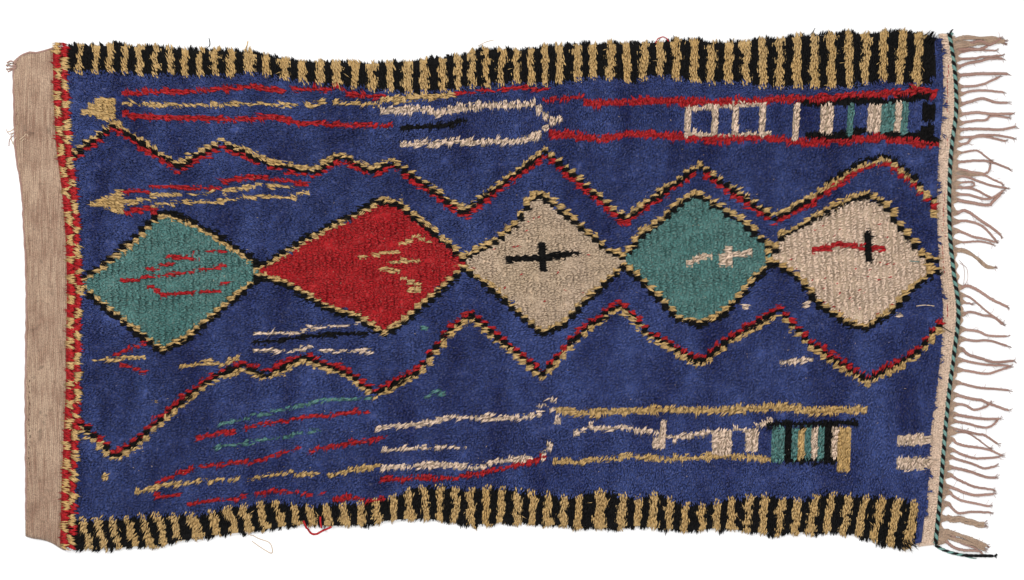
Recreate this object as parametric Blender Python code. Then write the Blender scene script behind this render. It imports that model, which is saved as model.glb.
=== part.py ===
"""A hand-knotted wool rug that lies flat on the floor.

The cloth is one woven piece: a plain weft-faced end at -X, a knotted pile with shaggy long
sides, and a low band at +X. A two-ply cord is twined along that band, its end lies loose,
and the warps past it are gathered into a fringe. +X runs along the rug towards the fringe,
+Z is up, and the floor is z = 0.
"""

import math
import random
from bisect import bisect_right
from collections import namedtuple

import bmesh
import bpy
import numpy
from mathutils import Vector, noise

MM = 0.001

# Thickness of each part of the cloth, in metres
WEFT_END_THICKNESS = 0.003
PILE_THICKNESS = 0.016
PILE_EDGE_THICKNESS = 0.011
BAND_THICKNESS = 0.007
FRINGE_THICKNESS = 0.005
LUMP_HEIGHT = 0.003
LUMP_SIZE = 0.045
ROW_RIDGE = 0.0012
PUCKER_HEIGHT = 0.0005
PUCKER_LENGTH = 0.033
PUCKER_WIDTH = 0.083

# Where the rows of the cloth's grid are set out, in metres along the table below
LEFT_STATION = -1.1
RIGHT_STATION = 1.05

# Grid of the cloth
WEFT_END_COLUMNS = 4
PILE_COLUMNS = 96
BAND_COLUMNS = 2
CROSS_ROWS = 26
STEP_WIDTH = 0.003

# Locks of pile that stick out of the rim
LOCK_ROOT_INSET = 0.013
LOCK_LENGTH = 0.014
LOCK_LENGTH_SPREAD = 0.009
LOCK_LEAN = 0.004
LOCK_TIP_WIDTH = 0.5
LOCK_TIP_HEIGHT = 0.6
CHECK_LOCK_LENGTH = 0.011
CHECK_LOCK_LENGTH_SPREAD = 0.004
CHECK_LOCK_TIP_WIDTH = 0.45
CHECK_LOCK_LIFT = 0.0015
CORNER_TUFT_LENGTH = 0.022
CORNER_TUFT_TIP_WIDTH = 0.3

# Two-ply cord
CORD_DIAMETER = 0.009
CORD_TURN = 0.027
CORD_STEPS_PER_TURN = 5
CORD_SECTION_DEGREES = (308, 232, 180, 128, 52, 0)
CORD_WAIST = 0.72
CORD_ROUTE_POINTS = 50
CORD_GAP = 0.0003
CORD_WALL_ALLOWANCE = 0.0009
CORD_FAR_END = 0.640
CORD_NEAR_END = -0.6332
TAIL_DIAMETER = 0.008

# Fringe
STRAND_STEPS = 6
STRAND_ROOT_FLARE = 0.0025
STRAND_ROOT_SHARE = 0.45
STRAND_TIP_WIDTH = 0.55
STRAND_TOP_WIDTH = 0.6
STRAND_TIP_HEIGHT = 0.003
STRAND_WAVE = 0.0022
STRIP_FAR_END = 0.632
STRIP_NEAR_END = -0.631

# Middle of the finished rug in the tables below, which becomes x = 0 and y = 0
RUG_MIDDLE = Vector((-0.00417, 0.00004, 0.0))

# The two long edges, in millimetres: a row for each section along the rug
EdgeSection = namedtuple("EdgeSection", "along near far")
EDGE_SECTIONS = [
    EdgeSection(-1246, -617, 582),
    EdgeSection(-1144, -635, 607),
    EdgeSection(-1125, -647, 615),
    EdgeSection(-1050, -651, 620),
    EdgeSection(-975, -652, 619),
    EdgeSection(-900, -647, 615),
    EdgeSection(-825, -635, 610),
    EdgeSection(-750, -622, 607),
    EdgeSection(-675, -616, 604),
    EdgeSection(-600, -605, 591),
    EdgeSection(-525, -595, 579),
    EdgeSection(-450, -599, 579),
    EdgeSection(-375, -595, 575),
    EdgeSection(-300, -585, 578),
    EdgeSection(-225, -581, 584),
    EdgeSection(-150, -589, 590),
    EdgeSection(-75, -595, 606),
    EdgeSection(0, -589, 605),
    EdgeSection(75, -596, 615),
    EdgeSection(150, -597, 620),
    EdgeSection(225, -604, 624),
    EdgeSection(300, -599, 624),
    EdgeSection(375, -605, 629),
    EdgeSection(450, -610, 632),
    EdgeSection(525, -605, 627),
    EdgeSection(600, -615, 632),
    EdgeSection(675, -617, 639),
    EdgeSection(750, -614, 644),
    EdgeSection(825, -614, 647),
    EdgeSection(900, -632, 651),
    EdgeSection(975, -651, 652),
    EdgeSection(1025, -640, 648),
    EdgeSection(1055, -637, 640),
    EdgeSection(1100, -636, 634),
]

# The lines that cross the rug at its two ends, in millimetres: a row for each section across
EndSection = namedtuple("EndSection", "across weft_edge pile_start band_start cord strip_edge")
END_SECTIONS = [
    EndSection(-640, -1215, -1127, 1020, 1057, 1079),
    EndSection(-550, -1215, -1124, 1031, 1066, 1084),
    EndSection(-450, -1215, -1121, 1041, 1074, 1094),
    EndSection(-350, -1216, -1117, 1045, 1082, 1104),
    EndSection(-250, -1217, -1112, 1059, 1092, 1111),
    EndSection(-150, -1215, -1112, 1070, 1105, 1122),
    EndSection(-50, -1214, -1110, 1075, 1115, 1131),
    EndSection(50, -1215, -1110, 1067, 1102, 1119),
    EndSection(150, -1220, -1114, 1061, 1093, 1111),
    EndSection(250, -1226, -1122, 1060, 1092, 1114),
    EndSection(350, -1241, -1135, 1065, 1097, 1120),
    EndSection(450, -1245, -1141, 1074, 1109, 1126),
    EndSection(550, -1247, -1144, 1075, 1105, 1121),
    EndSection(640, -1245, -1145, 1070, 1092, 1112),
]

# The strands of the fringe, in millimetres: where each leaves the strip, how far across and
# along its tip lies, and how wide it is
Strand = namedtuple("Strand", "root tip reach width")
STRANDS = [
    Strand(-621, -646, 1157, 8),
    Strand(-601, -632, 1185, 14),
    Strand(-566, -584, 1180, 15),
    Strand(-535, -556, 1195, 6),
    Strand(-509, -540, 1192, 8),
    Strand(-494, -511, 1202, 6),
    Strand(-462, -499, 1200, 7),
    Strand(-443, -470, 1207, 7),
    Strand(-418, -442, 1210, 7),
    Strand(-401, -421, 1215, 6),
    Strand(-378, -411, 1222, 5),
    Strand(-348, -385, 1212, 7),
    Strand(-329, -335, 1207, 7),
    Strand(-310, -322, 1217, 7),
    Strand(-285, -304, 1222, 6),
    Strand(-262, -291, 1237, 7),
    Strand(-232, -250, 1237, 7),
    Strand(-200, -202, 1235, 7),
    Strand(-174, -190, 1242, 6),
    Strand(-150, -178, 1252, 6),
    Strand(-122, -140, 1237, 6),
    Strand(-100, -115, 1235, 6),
    Strand(-59, -89, 1222, 7),
    Strand(-32, -40, 1150, 5),
    Strand(-12, -77, 1225, 5),
    Strand(7, -42, 1237, 6),
    Strand(95, 55, 1205, 8),
    Strand(120, 109, 1200, 6),
    Strand(146, 120, 1207, 6),
    Strand(170, 130, 1210, 6),
    Strand(192, 141, 1220, 7),
    Strand(222, 215, 1197, 9),
    Strand(240, 230, 1227, 5),
    Strand(257, 241, 1210, 5),
    Strand(281, 255, 1235, 6),
    Strand(301, 267, 1225, 6),
    Strand(320, 301, 1245, 6),
    Strand(342, 320, 1195, 5),
    Strand(362, 367, 1232, 6),
    Strand(380, 380, 1252, 7),
    Strand(400, 405, 1260, 6),
    Strand(416, 424, 1235, 7),
    Strand(439, 437, 1250, 7),
    Strand(464, 469, 1237, 6),
    Strand(490, 490, 1212, 6),
    Strand(507, 522, 1222, 6),
    Strand(535, 537, 1237, 8),
    Strand(557, 571, 1225, 7),
    Strand(577, 584, 1222, 6),
    Strand(592, 596, 1210, 5),
    Strand(620, 620, 1227, 20),
]

# A point of a cord's route, and how far along the route it lies, in millimetres
RoutePoint = namedtuple("RoutePoint", "at x y z")

# Route of the cord's loose end from the near corner, in millimetres
TAIL_ROUTE = [
    (1058, -637.5),
    (1067, -643.5),
    (1078, -649),
    (1091, -654),
    (1105, -658),
    (1121, -661.5),
    (1139, -663.5),
    (1160, -664),
    (1181, -664),
    (1202, -664.5),
]


def line_through(rows, along, value):
    """Return a function that runs smoothly through one column of a table, in metres."""
    places = [getattr(row, along) * MM for row in rows]
    values = [getattr(row, value) * MM for row in rows]
    slopes = numpy.gradient(values, places)

    def at(place):
        place = min(max(place, places[0]), places[-1])
        i = min(bisect_right(places, place), len(places) - 1) - 1
        step = places[i + 1] - places[i]
        t = (place - places[i]) / step
        return float(
            values[i] * (1 + 2 * t) * (1 - t) ** 2
            + values[i + 1] * t * t * (3 - 2 * t)
            + slopes[i] * step * t * (1 - t) ** 2
            - slopes[i + 1] * step * t * t * (1 - t)
        )

    return at


near_edge = line_through(EDGE_SECTIONS, "along", "near")
far_edge = line_through(EDGE_SECTIONS, "along", "far")
weft_edge = line_through(END_SECTIONS, "across", "weft_edge")
pile_start = line_through(END_SECTIONS, "across", "pile_start")
band_start = line_through(END_SECTIONS, "across", "band_start")
cord_line = line_through(END_SECTIONS, "across", "cord")
strip_edge = line_through(END_SECTIONS, "across", "strip_edge")


def blend(a, b, share):
    return a + (b - a) * share


def clear_scene():
    for obj in list(bpy.data.objects):
        bpy.data.objects.remove(obj, do_unlink=True)


def wool(name, colour, roughness=0.95):
    """A dull woollen material."""
    material = bpy.data.materials.new(name)
    material.use_nodes = True
    shader = material.node_tree.nodes["Principled BSDF"]
    shader.inputs["Base Color"].default_value = (*colour, 1.0)
    shader.inputs["Roughness"].default_value = roughness
    shader.inputs["Metallic"].default_value = 0.0
    material.diffuse_color = (*colour, 1.0)
    return material


def add_part(name, data, material, collection):
    """Link a mesh or curve as a sub-part, with the rug's middle moved to the origin."""
    part = bpy.data.objects.new(name, data)
    part.location = -RUG_MIDDLE
    data.materials.append(material)
    collection.objects.link(part)
    return part


def closed_grid(columns, rows):
    """A closed slab of columns by rows cells, whose corners carry their column, row and level."""
    bm = bmesh.new()
    bmesh.ops.create_grid(bm, x_segments=columns, y_segments=rows, size=0.5)
    column = bm.verts.layers.int.new("column")
    row = bm.verts.layers.int.new("row")
    level = bm.verts.layers.int.new("level")
    for vert in bm.verts:
        vert[column] = round((vert.co.x + 0.5) * columns)
        vert[row] = round((vert.co.y + 0.5) * rows)
    raised = bmesh.ops.extrude_face_region(bm, geom=bm.faces[:])["geom"]
    for item in raised:
        if isinstance(item, bmesh.types.BMVert):
            item[level] = 1
            item.co.z = 1.0
    bmesh.ops.recalc_face_normals(bm, faces=bm.faces[:])
    return bm, column, row, level


def finish_mesh(bm, name):
    mesh = bpy.data.meshes.new(name)
    bm.to_mesh(mesh)
    bm.free()
    return mesh


# Columns of the cloth's grid, counted from the weft edge
FIRST_PILE = WEFT_END_COLUMNS + 1
LAST_PILE = FIRST_PILE + PILE_COLUMNS
LAST_COLUMN = LAST_PILE + 1 + BAND_COLUMNS


def cloth_place(column, row):
    """The place of a corner of the cloth's grid on the floor, in metres."""
    share_across = row / CROSS_ROWS
    left_across = blend(near_edge(LEFT_STATION), far_edge(LEFT_STATION), share_across)
    right_across = blend(near_edge(RIGHT_STATION), far_edge(RIGHT_STATION), share_across)
    start = pile_start(left_across)
    end = band_start(right_across)
    if column < FIRST_PILE:
        x = blend(weft_edge(left_across), start, column / WEFT_END_COLUMNS)
    elif column <= LAST_PILE:
        x = blend(start + STEP_WIDTH, end, (column - FIRST_PILE) / PILE_COLUMNS)
    else:
        wall = cord_line(right_across) - CORD_DIAMETER / 2 - CORD_GAP - CORD_WALL_ALLOWANCE
        x = blend(end + STEP_WIDTH, wall, (column - LAST_PILE - 1) / BAND_COLUMNS)
    inset = LOCK_ROOT_INSET if FIRST_PILE <= column <= LAST_PILE else 0.0
    return x, blend(near_edge(x) + inset, far_edge(x) - inset, share_across)


def cloth_height(column, row, x, y):
    """The thickness of the cloth at a corner of its grid."""
    if column < FIRST_PILE:
        pucker = noise.noise((x / PUCKER_LENGTH, y / PUCKER_WIDTH, 0.0))
        return WEFT_END_THICKNESS + PUCKER_HEIGHT * (1 + pucker)
    if column > LAST_PILE:
        return BAND_THICKNESS + ROW_RIDGE * (-1) ** row
    at_edge = row in (0, CROSS_ROWS)
    thickness = PILE_EDGE_THICKNESS if at_edge else PILE_THICKNESS
    lumps = LUMP_HEIGHT * noise.noise((x / LUMP_SIZE, y / LUMP_SIZE, 0.0))
    return thickness + lumps + ROW_RIDGE * (-1) ** column


def pull_lock(face, shift, tip_width, tip_height, base):
    """Move a newly extruded face out along shift and narrow it to a lock's tip."""
    middle = sum((vert.co for vert in face.verts), Vector()) / len(face.verts)
    for vert in face.verts:
        vert.co.x = blend(middle.x, vert.co.x, tip_width)
        vert.co.y = blend(middle.y, vert.co.y, tip_width)
        vert.co.z = base + (vert.co.z - base) * tip_height
        vert.co += shift


def build_cloth(collection, material):
    """The woven cloth: its plain end, knotted pile and low band, in one closed body."""
    draw = random.Random(11)
    bm, column, row, level = closed_grid(LAST_COLUMN, CROSS_ROWS)
    for vert in bm.verts:
        x, y = cloth_place(vert[column], vert[row])
        height = cloth_height(vert[column], vert[row], x, y)
        vert.co = Vector((x, y, vert[level] * height))

    def side_faces(test):
        found = [f for f in bm.faces if all(test(v) for v in f.verts)]
        return sorted(found, key=lambda f: tuple(f.calc_center_median()))

    def in_pile(vert):
        return FIRST_PILE <= vert[column] <= LAST_PILE

    far_side = side_faces(lambda v: v[row] == CROSS_ROWS and in_pile(v))
    near_side = side_faces(lambda v: v[row] == 0 and in_pile(v))
    for side, outward in ((far_side, 1), (near_side, -1)):
        for face in bmesh.ops.extrude_discrete_faces(bm, faces=side)["faces"]:
            length = LOCK_LENGTH + draw.uniform(-1, 1) * LOCK_LENGTH_SPREAD
            shift = Vector((draw.uniform(-1, 1) * LOCK_LEAN, outward * length, 0))
            pull_lock(face, shift, LOCK_TIP_WIDTH, LOCK_TIP_HEIGHT, 0.0)

    step_columns = (WEFT_END_COLUMNS, FIRST_PILE)
    step = side_faces(lambda v: v[level] == 1 and v[column] in step_columns)
    for face in bmesh.ops.extrude_discrete_faces(bm, faces=step)["faces"]:
        length = CHECK_LOCK_LENGTH + draw.uniform(-1, 1) * CHECK_LOCK_LENGTH_SPREAD
        foot = min(vert.co.z for vert in face.verts)
        shift = Vector((-length, 0, CHECK_LOCK_LIFT))
        pull_lock(face, shift, CHECK_LOCK_TIP_WIDTH, LOCK_TIP_HEIGHT, foot)

    corner = side_faces(lambda v: v[column] == 0 and v[row] >= CROSS_ROWS - 1)
    for face in bmesh.ops.extrude_discrete_faces(bm, faces=corner)["faces"]:
        pull_lock(face, Vector((-CORNER_TUFT_LENGTH, 0, 0)), CORNER_TUFT_TIP_WIDTH, 1.0, 0.0)

    underside = [f for f in bm.faces if all(v.co.z == 0.0 for v in f.verts)]
    bmesh.ops.dissolve_faces(bm, faces=underside, use_verts=False)
    return add_part("rug_body", finish_mesh(bm, "rug_body"), material, collection)


def ply_profile(name, diameter, guides):
    """The two-lobed section of a two-ply cord, a guide that is not part of the rug."""
    curve = bpy.data.curves.new(name, "CURVE")
    curve.dimensions = "2D"
    spline = curve.splines.new("POLY")
    spline.points.add(len(CORD_SECTION_DEGREES) - 1)
    for point, angle in zip(spline.points, CORD_SECTION_DEGREES):
        reach = diameter / 2 * (1.0 if angle % 180 == 0 else CORD_WAIST)
        turn = math.radians(angle)
        point.co = (reach * math.cos(turn), reach * math.sin(turn), 0, 1)
    spline.use_cyclic_u = True
    guide = bpy.data.objects.new(name, curve)
    guide.hide_render = True
    guide.display_type = "WIRE"
    guides.objects.link(guide)
    return guide


def even_points(route, spacing):
    """Points at even spacing on the smooth curve through a route."""
    places = numpy.array(route, float)
    steps = numpy.linalg.norm(numpy.diff(places, axis=0), axis=1)
    along = numpy.concatenate([[0.0], numpy.cumsum(steps)])
    rows = [RoutePoint(at / MM, *(place / MM)) for at, place in zip(along, places)]
    lines = [line_through(rows, "at", axis) for axis in "xyz"]
    count = max(2, round(along[-1] / spacing) + 1)
    return [
        Vector([line(at) for line in lines])
        for at in numpy.linspace(0, along[-1], count)
    ]


def build_twist(name, route, diameter, collection, guides, material):
    """A two-ply cord along a route: its section turns a little at each point."""
    spacing = CORD_TURN / CORD_STEPS_PER_TURN
    points = even_points(route, spacing)
    curve = bpy.data.curves.new(name, "CURVE")
    curve.dimensions = "3D"
    curve.twist_mode = "Z_UP"
    curve.bevel_mode = "OBJECT"
    curve.bevel_object = ply_profile(name + "_section", diameter, guides)
    curve.use_fill_caps = True
    spline = curve.splines.new("POLY")
    spline.points.add(len(points) - 1)
    for i, (point, place) in enumerate(zip(spline.points, points)):
        point.co = (*place, 1)
        point.tilt = 2 * math.pi * i / CORD_STEPS_PER_TURN
    return add_part(name, curve, material, collection)


def build_cord(collection, guides, material):
    """The cord that is twined along the band."""
    route = [
        (cord_line(y), y, CORD_DIAMETER / 2)
        for y in numpy.linspace(CORD_FAR_END, CORD_NEAR_END, CORD_ROUTE_POINTS)
    ]
    return build_twist("twined_cord", route, CORD_DIAMETER, collection, guides, material)


def build_tail(collection, guides, material):
    """The cord's loose end, on the floor past the near corner."""
    route = [(x * MM, y * MM, TAIL_DIAMETER / 2) for x, y in TAIL_ROUTE]
    return build_twist("cord_tail", route, TAIL_DIAMETER, collection, guides, material)


def root_halves():
    """Half the width of each strand's root, which leaves room for the next one."""
    halves = []
    for number, strand in enumerate(STRANDS):
        beside = [s.root for s in STRANDS[max(number - 1, 0) : number + 2] if s is not strand]
        room = min(abs(strand.root - root) for root in beside) * MM
        halves.append(min(strand.width * MM / 2 + STRAND_ROOT_FLARE, room * STRAND_ROOT_SHARE))
    return halves


def pull_strand(bm, face, level, strand, phase):
    """Extrude a face of the strip step by step into one strand that rests on the floor."""
    root, tip, reach, full_width = (value * MM for value in strand)
    start = strip_edge(root)
    for step in range(1, STRAND_STEPS + 1):
        share = step / STRAND_STEPS
        last = step == STRAND_STEPS
        width = full_width * (STRAND_TIP_WIDTH if last else 1.0)
        height = STRAND_TIP_HEIGHT if last else FRINGE_THICKNESS
        wave = STRAND_WAVE * share * math.sin(phase + 2 * math.pi * share)
        middle = blend(root, tip, share * share) + wave
        face = bmesh.ops.extrude_discrete_faces(bm, faces=[face])["faces"][0]
        mean_y = sum(vert.co.y for vert in face.verts) / len(face.verts)
        for vert in face.verts:
            side = 0.5 if vert.co.y > mean_y else -0.5
            if vert[level]:
                offset, z = side * width * STRAND_TOP_WIDTH, height
            else:
                offset, z = side * width, 0.0
            vert.co = Vector((blend(start, reach, share), middle + offset, z))


def build_fringe(collection, material):
    """The fringe: a narrow strip of weave with a strand of warps at each root."""
    draw = random.Random(7)
    marks = [STRIP_NEAR_END]
    for strand, half in zip(STRANDS, root_halves()):
        marks += [strand.root * MM - half, strand.root * MM + half]
    marks.append(STRIP_FAR_END)
    bm, column, row, level = closed_grid(1, len(marks) - 1)
    for vert in bm.verts:
        y = marks[vert[row]]
        inner = cord_line(y) + CORD_DIAMETER / 2 + CORD_GAP
        x = inner if vert[column] == 0 else strip_edge(y)
        vert.co = Vector((x, y, vert[level] * FRINGE_THICKNESS))

    root_faces = [
        face
        for face in bm.faces
        if all(v[column] == 1 for v in face.verts) and min(v[row] for v in face.verts) % 2 == 1
    ]
    root_faces.sort(key=lambda face: face.calc_center_median().y)
    for face, strand in zip(root_faces, STRANDS):
        pull_strand(bm, face, level, strand, draw.uniform(0, 2 * math.pi))
    return add_part("end_fringe", finish_mesh(bm, "end_fringe"), material, collection)


def main():
    clear_scene()
    rug = bpy.data.collections.new("knotted_rug")
    guides = bpy.data.collections.new("guides")
    bpy.context.scene.collection.children.link(rug)
    bpy.context.scene.collection.children.link(guides)
    build_cloth(rug, wool("blue_pile_wool", (0.045, 0.068, 0.240)))
    cord_wool = wool("teal_cord_wool", (0.080, 0.190, 0.165), 0.85)
    build_cord(rug, guides, cord_wool)
    build_tail(rug, guides, cord_wool)
    build_fringe(rug, wool("tan_warp_wool", (0.400, 0.250, 0.180)))


main()
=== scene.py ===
"""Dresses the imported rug: knotted wool pile in its traditional pattern, a plain woven end,
a twined cord, a knotted fringe and the studio around them.

+X runs along the rug towards the fringe, +Z is up, and the floor is z = 0. The tables below are
laid out on a chart with squares of 2.5 mm, whose x runs towards the fringe and y downwards.
"""

import math

import bpy
import numpy as np
from bpy.props import FloatProperty, FloatVectorProperty, PointerProperty
from bpy.types import Operator, Panel, PropertyGroup
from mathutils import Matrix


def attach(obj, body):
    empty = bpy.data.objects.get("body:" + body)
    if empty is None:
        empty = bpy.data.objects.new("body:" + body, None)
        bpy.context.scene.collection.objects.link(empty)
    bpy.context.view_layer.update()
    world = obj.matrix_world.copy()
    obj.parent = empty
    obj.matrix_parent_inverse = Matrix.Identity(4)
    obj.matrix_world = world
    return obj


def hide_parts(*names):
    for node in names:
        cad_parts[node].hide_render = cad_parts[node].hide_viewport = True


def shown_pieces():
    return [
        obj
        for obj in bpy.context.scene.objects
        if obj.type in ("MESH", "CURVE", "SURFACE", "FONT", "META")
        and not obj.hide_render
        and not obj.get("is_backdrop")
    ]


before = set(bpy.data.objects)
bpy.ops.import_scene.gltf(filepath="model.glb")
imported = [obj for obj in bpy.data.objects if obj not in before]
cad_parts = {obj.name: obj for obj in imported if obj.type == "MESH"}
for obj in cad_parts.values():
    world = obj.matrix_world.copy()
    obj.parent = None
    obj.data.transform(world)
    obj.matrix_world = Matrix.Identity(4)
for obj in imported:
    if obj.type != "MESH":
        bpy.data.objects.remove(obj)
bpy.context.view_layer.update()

bl_info = {
    "name": "Knotted Rug",
    "version": (1, 0, 0),
    "blender": (4, 5, 0),
    "location": "View3D > Sidebar > Rug",
    "description": "Builds the pile, the woven end, the cord and the fringe of a knotted rug",
    "category": "Object",
}

MM = 0.001

# Chart
CHART_SQUARE = 0.0025
CHART_MIDDLE_X = 512
CHART_MIDDLE_Y = 290
RUG_MIDDLE_X = -0.00417
RUG_MIDDLE_Y = 0.00004

# Colours of the knots
BLUE, GOLD, BLACK, RED, TEAL, IVORY = range(6)
KNOT_NAMES = ("blue", "gold", "black", "red", "teal", "ivory")

# Keys of the paler ivory and of the first part of the blue
PALE = 6
BLUE_PARTS = 10

# Rows of knots along the rug, knots in a row, and locks of a knot in plain areas and in lines
KNOT_ROWS = 131
ROW_KNOTS = 172
FINE_LOCKS = 5
TUFT_LOCKS = 6

# The two long edges, in millimetres: along, near, far
EDGE_SECTIONS = (
    (-1246, -617, 582), (-1144, -635, 607), (-1125, -647, 615), (-1050, -651, 620),
    (-975, -652, 619), (-900, -647, 615), (-825, -635, 610), (-750, -622, 607),
    (-675, -616, 604), (-600, -605, 591), (-525, -595, 579), (-450, -599, 579),
    (-375, -595, 575), (-300, -585, 578), (-225, -581, 584), (-150, -589, 590),
    (-75, -595, 606), (0, -589, 605), (75, -596, 615), (150, -597, 620),
    (225, -604, 624), (300, -599, 624), (375, -605, 629), (450, -610, 632),
    (525, -605, 627), (600, -615, 632), (675, -617, 639), (750, -614, 644),
    (825, -614, 647), (900, -632, 651), (975, -651, 652), (1025, -640, 648),
    (1055, -637, 640), (1100, -636, 634),
)

# The lines across the ends, in millimetres: across, weft edge, pile start, band start, cord, strip
END_SECTIONS = (
    (-640, -1215, -1127, 1020, 1057, 1079), (-550, -1215, -1124, 1031, 1066, 1084),
    (-450, -1215, -1121, 1041, 1074, 1094), (-350, -1216, -1117, 1045, 1082, 1104),
    (-250, -1217, -1112, 1059, 1092, 1111), (-150, -1215, -1112, 1070, 1105, 1122),
    (-50, -1214, -1110, 1075, 1115, 1131), (50, -1215, -1110, 1067, 1102, 1119),
    (150, -1220, -1114, 1061, 1093, 1111), (250, -1226, -1122, 1060, 1092, 1114),
    (350, -1241, -1135, 1065, 1097, 1120), (450, -1245, -1141, 1074, 1109, 1126),
    (550, -1247, -1144, 1075, 1105, 1121), (640, -1245, -1145, 1070, 1092, 1112),
)

# Inner edge of the striped borders, on the chart: along, far border, near border
BORDER_EDGES = (
    (75, 71, 520), (120, 73, 519), (150, 75, 515), (200, 75, 514), (235, 75, 507),
    (248, 71, 506), (276, 77, 502), (306, 82, 506), (342, 86, 505), (373, 89, 501),
    (392, 90, 498), (415, 94, 488), (440, 90, 487), (468, 87, 490), (491, 85, 488),
    (516, 82, 491), (545, 85, 494), (570, 81, 498), (600, 77, 491), (636, 82, 498),
    (657, 74, 494), (680, 79, 503), (702, 82, 506), (731, 81, 499), (763, 86, 495),
    (798, 86, 501), (828, 87, 493), (850, 86, 497), (880, 81, 497), (916, 84, 502),
    (940, 84, 503),
)

# Where some of the black stripes lie: number of the stripe, place on the chart
FAR_STRIPES = ((0, 74), (10, 223), (14, 294), (23, 451), (30, 552), (38, 685), (52, 925))
NEAR_STRIPES = (
    (0, 80), (7, 185), (8, 208), (20, 402), (32, 586), (33, 614), (42, 755), (52, 919),
)

# How much the stripes of the borders slant towards the fringe on their way in or out
FAR_SLANTS = ((70, 860, 930), (0.0, 0.0, 0.1))
NEAR_SLANTS = ((70, 170, 300, 450, 740, 860, 905, 925), (0.3, 0.28, 0.2, 0.0, -0.05, -0.2, -0.2, 0.1))
STRIPE_SHARE = 0.275
LAST_NEAR_STRIPE = 51.78

# Diamonds: colour, corners of the far edge and of the near one, and which far edges have gold outside
DIAMONDS = (
    (TEAL, (84, 283, 106, 268, 136, 244, 156, 223, 166, 217, 198, 230, 224, 245, 260, 269),
        (84, 284, 104, 301, 144, 332, 163, 347, 184, 336, 210, 314, 250, 281, 260, 274), ""),
    (RED, (262, 270, 293, 252, 335, 228, 363, 215, 379, 205, 397, 207, 431, 234, 464, 262),
        (262, 272, 293, 282, 325, 303, 359, 313, 384, 330, 403, 317, 435, 290, 464, 264), "right"),
    (IVORY, (464, 262, 500, 242, 518, 226, 533, 202, 542, 199, 578, 229, 608, 254, 624, 260),
        (464, 264, 491, 283, 542, 329, 560, 321, 596, 286, 624, 262), "left right"),
    (TEAL, (626, 259, 641, 239, 665, 221, 685, 203, 696, 197, 739, 223, 772, 254),
        (626, 262, 655, 289, 681, 316, 700, 320, 721, 311, 749, 279, 772, 257), "left right"),
    (IVORY, (773, 256, 782, 240, 826, 215, 850, 203, 866, 199, 880, 206, 894, 224, 920, 258, 934, 264),
        (773, 258, 800, 274, 820, 300, 844, 318, 864, 324, 884, 312, 906, 288, 934, 266), "left right"),
)

# Zigzags: colours from the far side to the near side, and the corners that they run through
ZIGZAGS = (
    ((GOLD, BLACK, RED), (
        74, 157, 115, 126, 178, 168, 222, 144, 272, 166, 315, 173, 341, 157, 373, 173,
        388, 164, 400, 168, 464, 214, 545, 153, 624, 221, 698, 168, 773, 219, 812, 200, 828, 187,
    )),
    ((BLACK, GOLD, RED), (828, 187, 862, 165, 886, 160, 907, 177, 934, 204)),
    ((RED, BLACK, GOLD), (
        84, 426, 116, 457, 139, 441, 156, 424, 207, 381, 242, 366, 267, 375, 304, 357,
        347, 373, 376, 393, 419, 371, 452, 329, 470, 315, 517, 353, 542, 374, 586, 328,
        620, 304, 647, 333, 700, 363, 728, 340, 779, 311, 809, 343, 865, 381, 915, 354, 941, 324,
    )),
)

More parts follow.
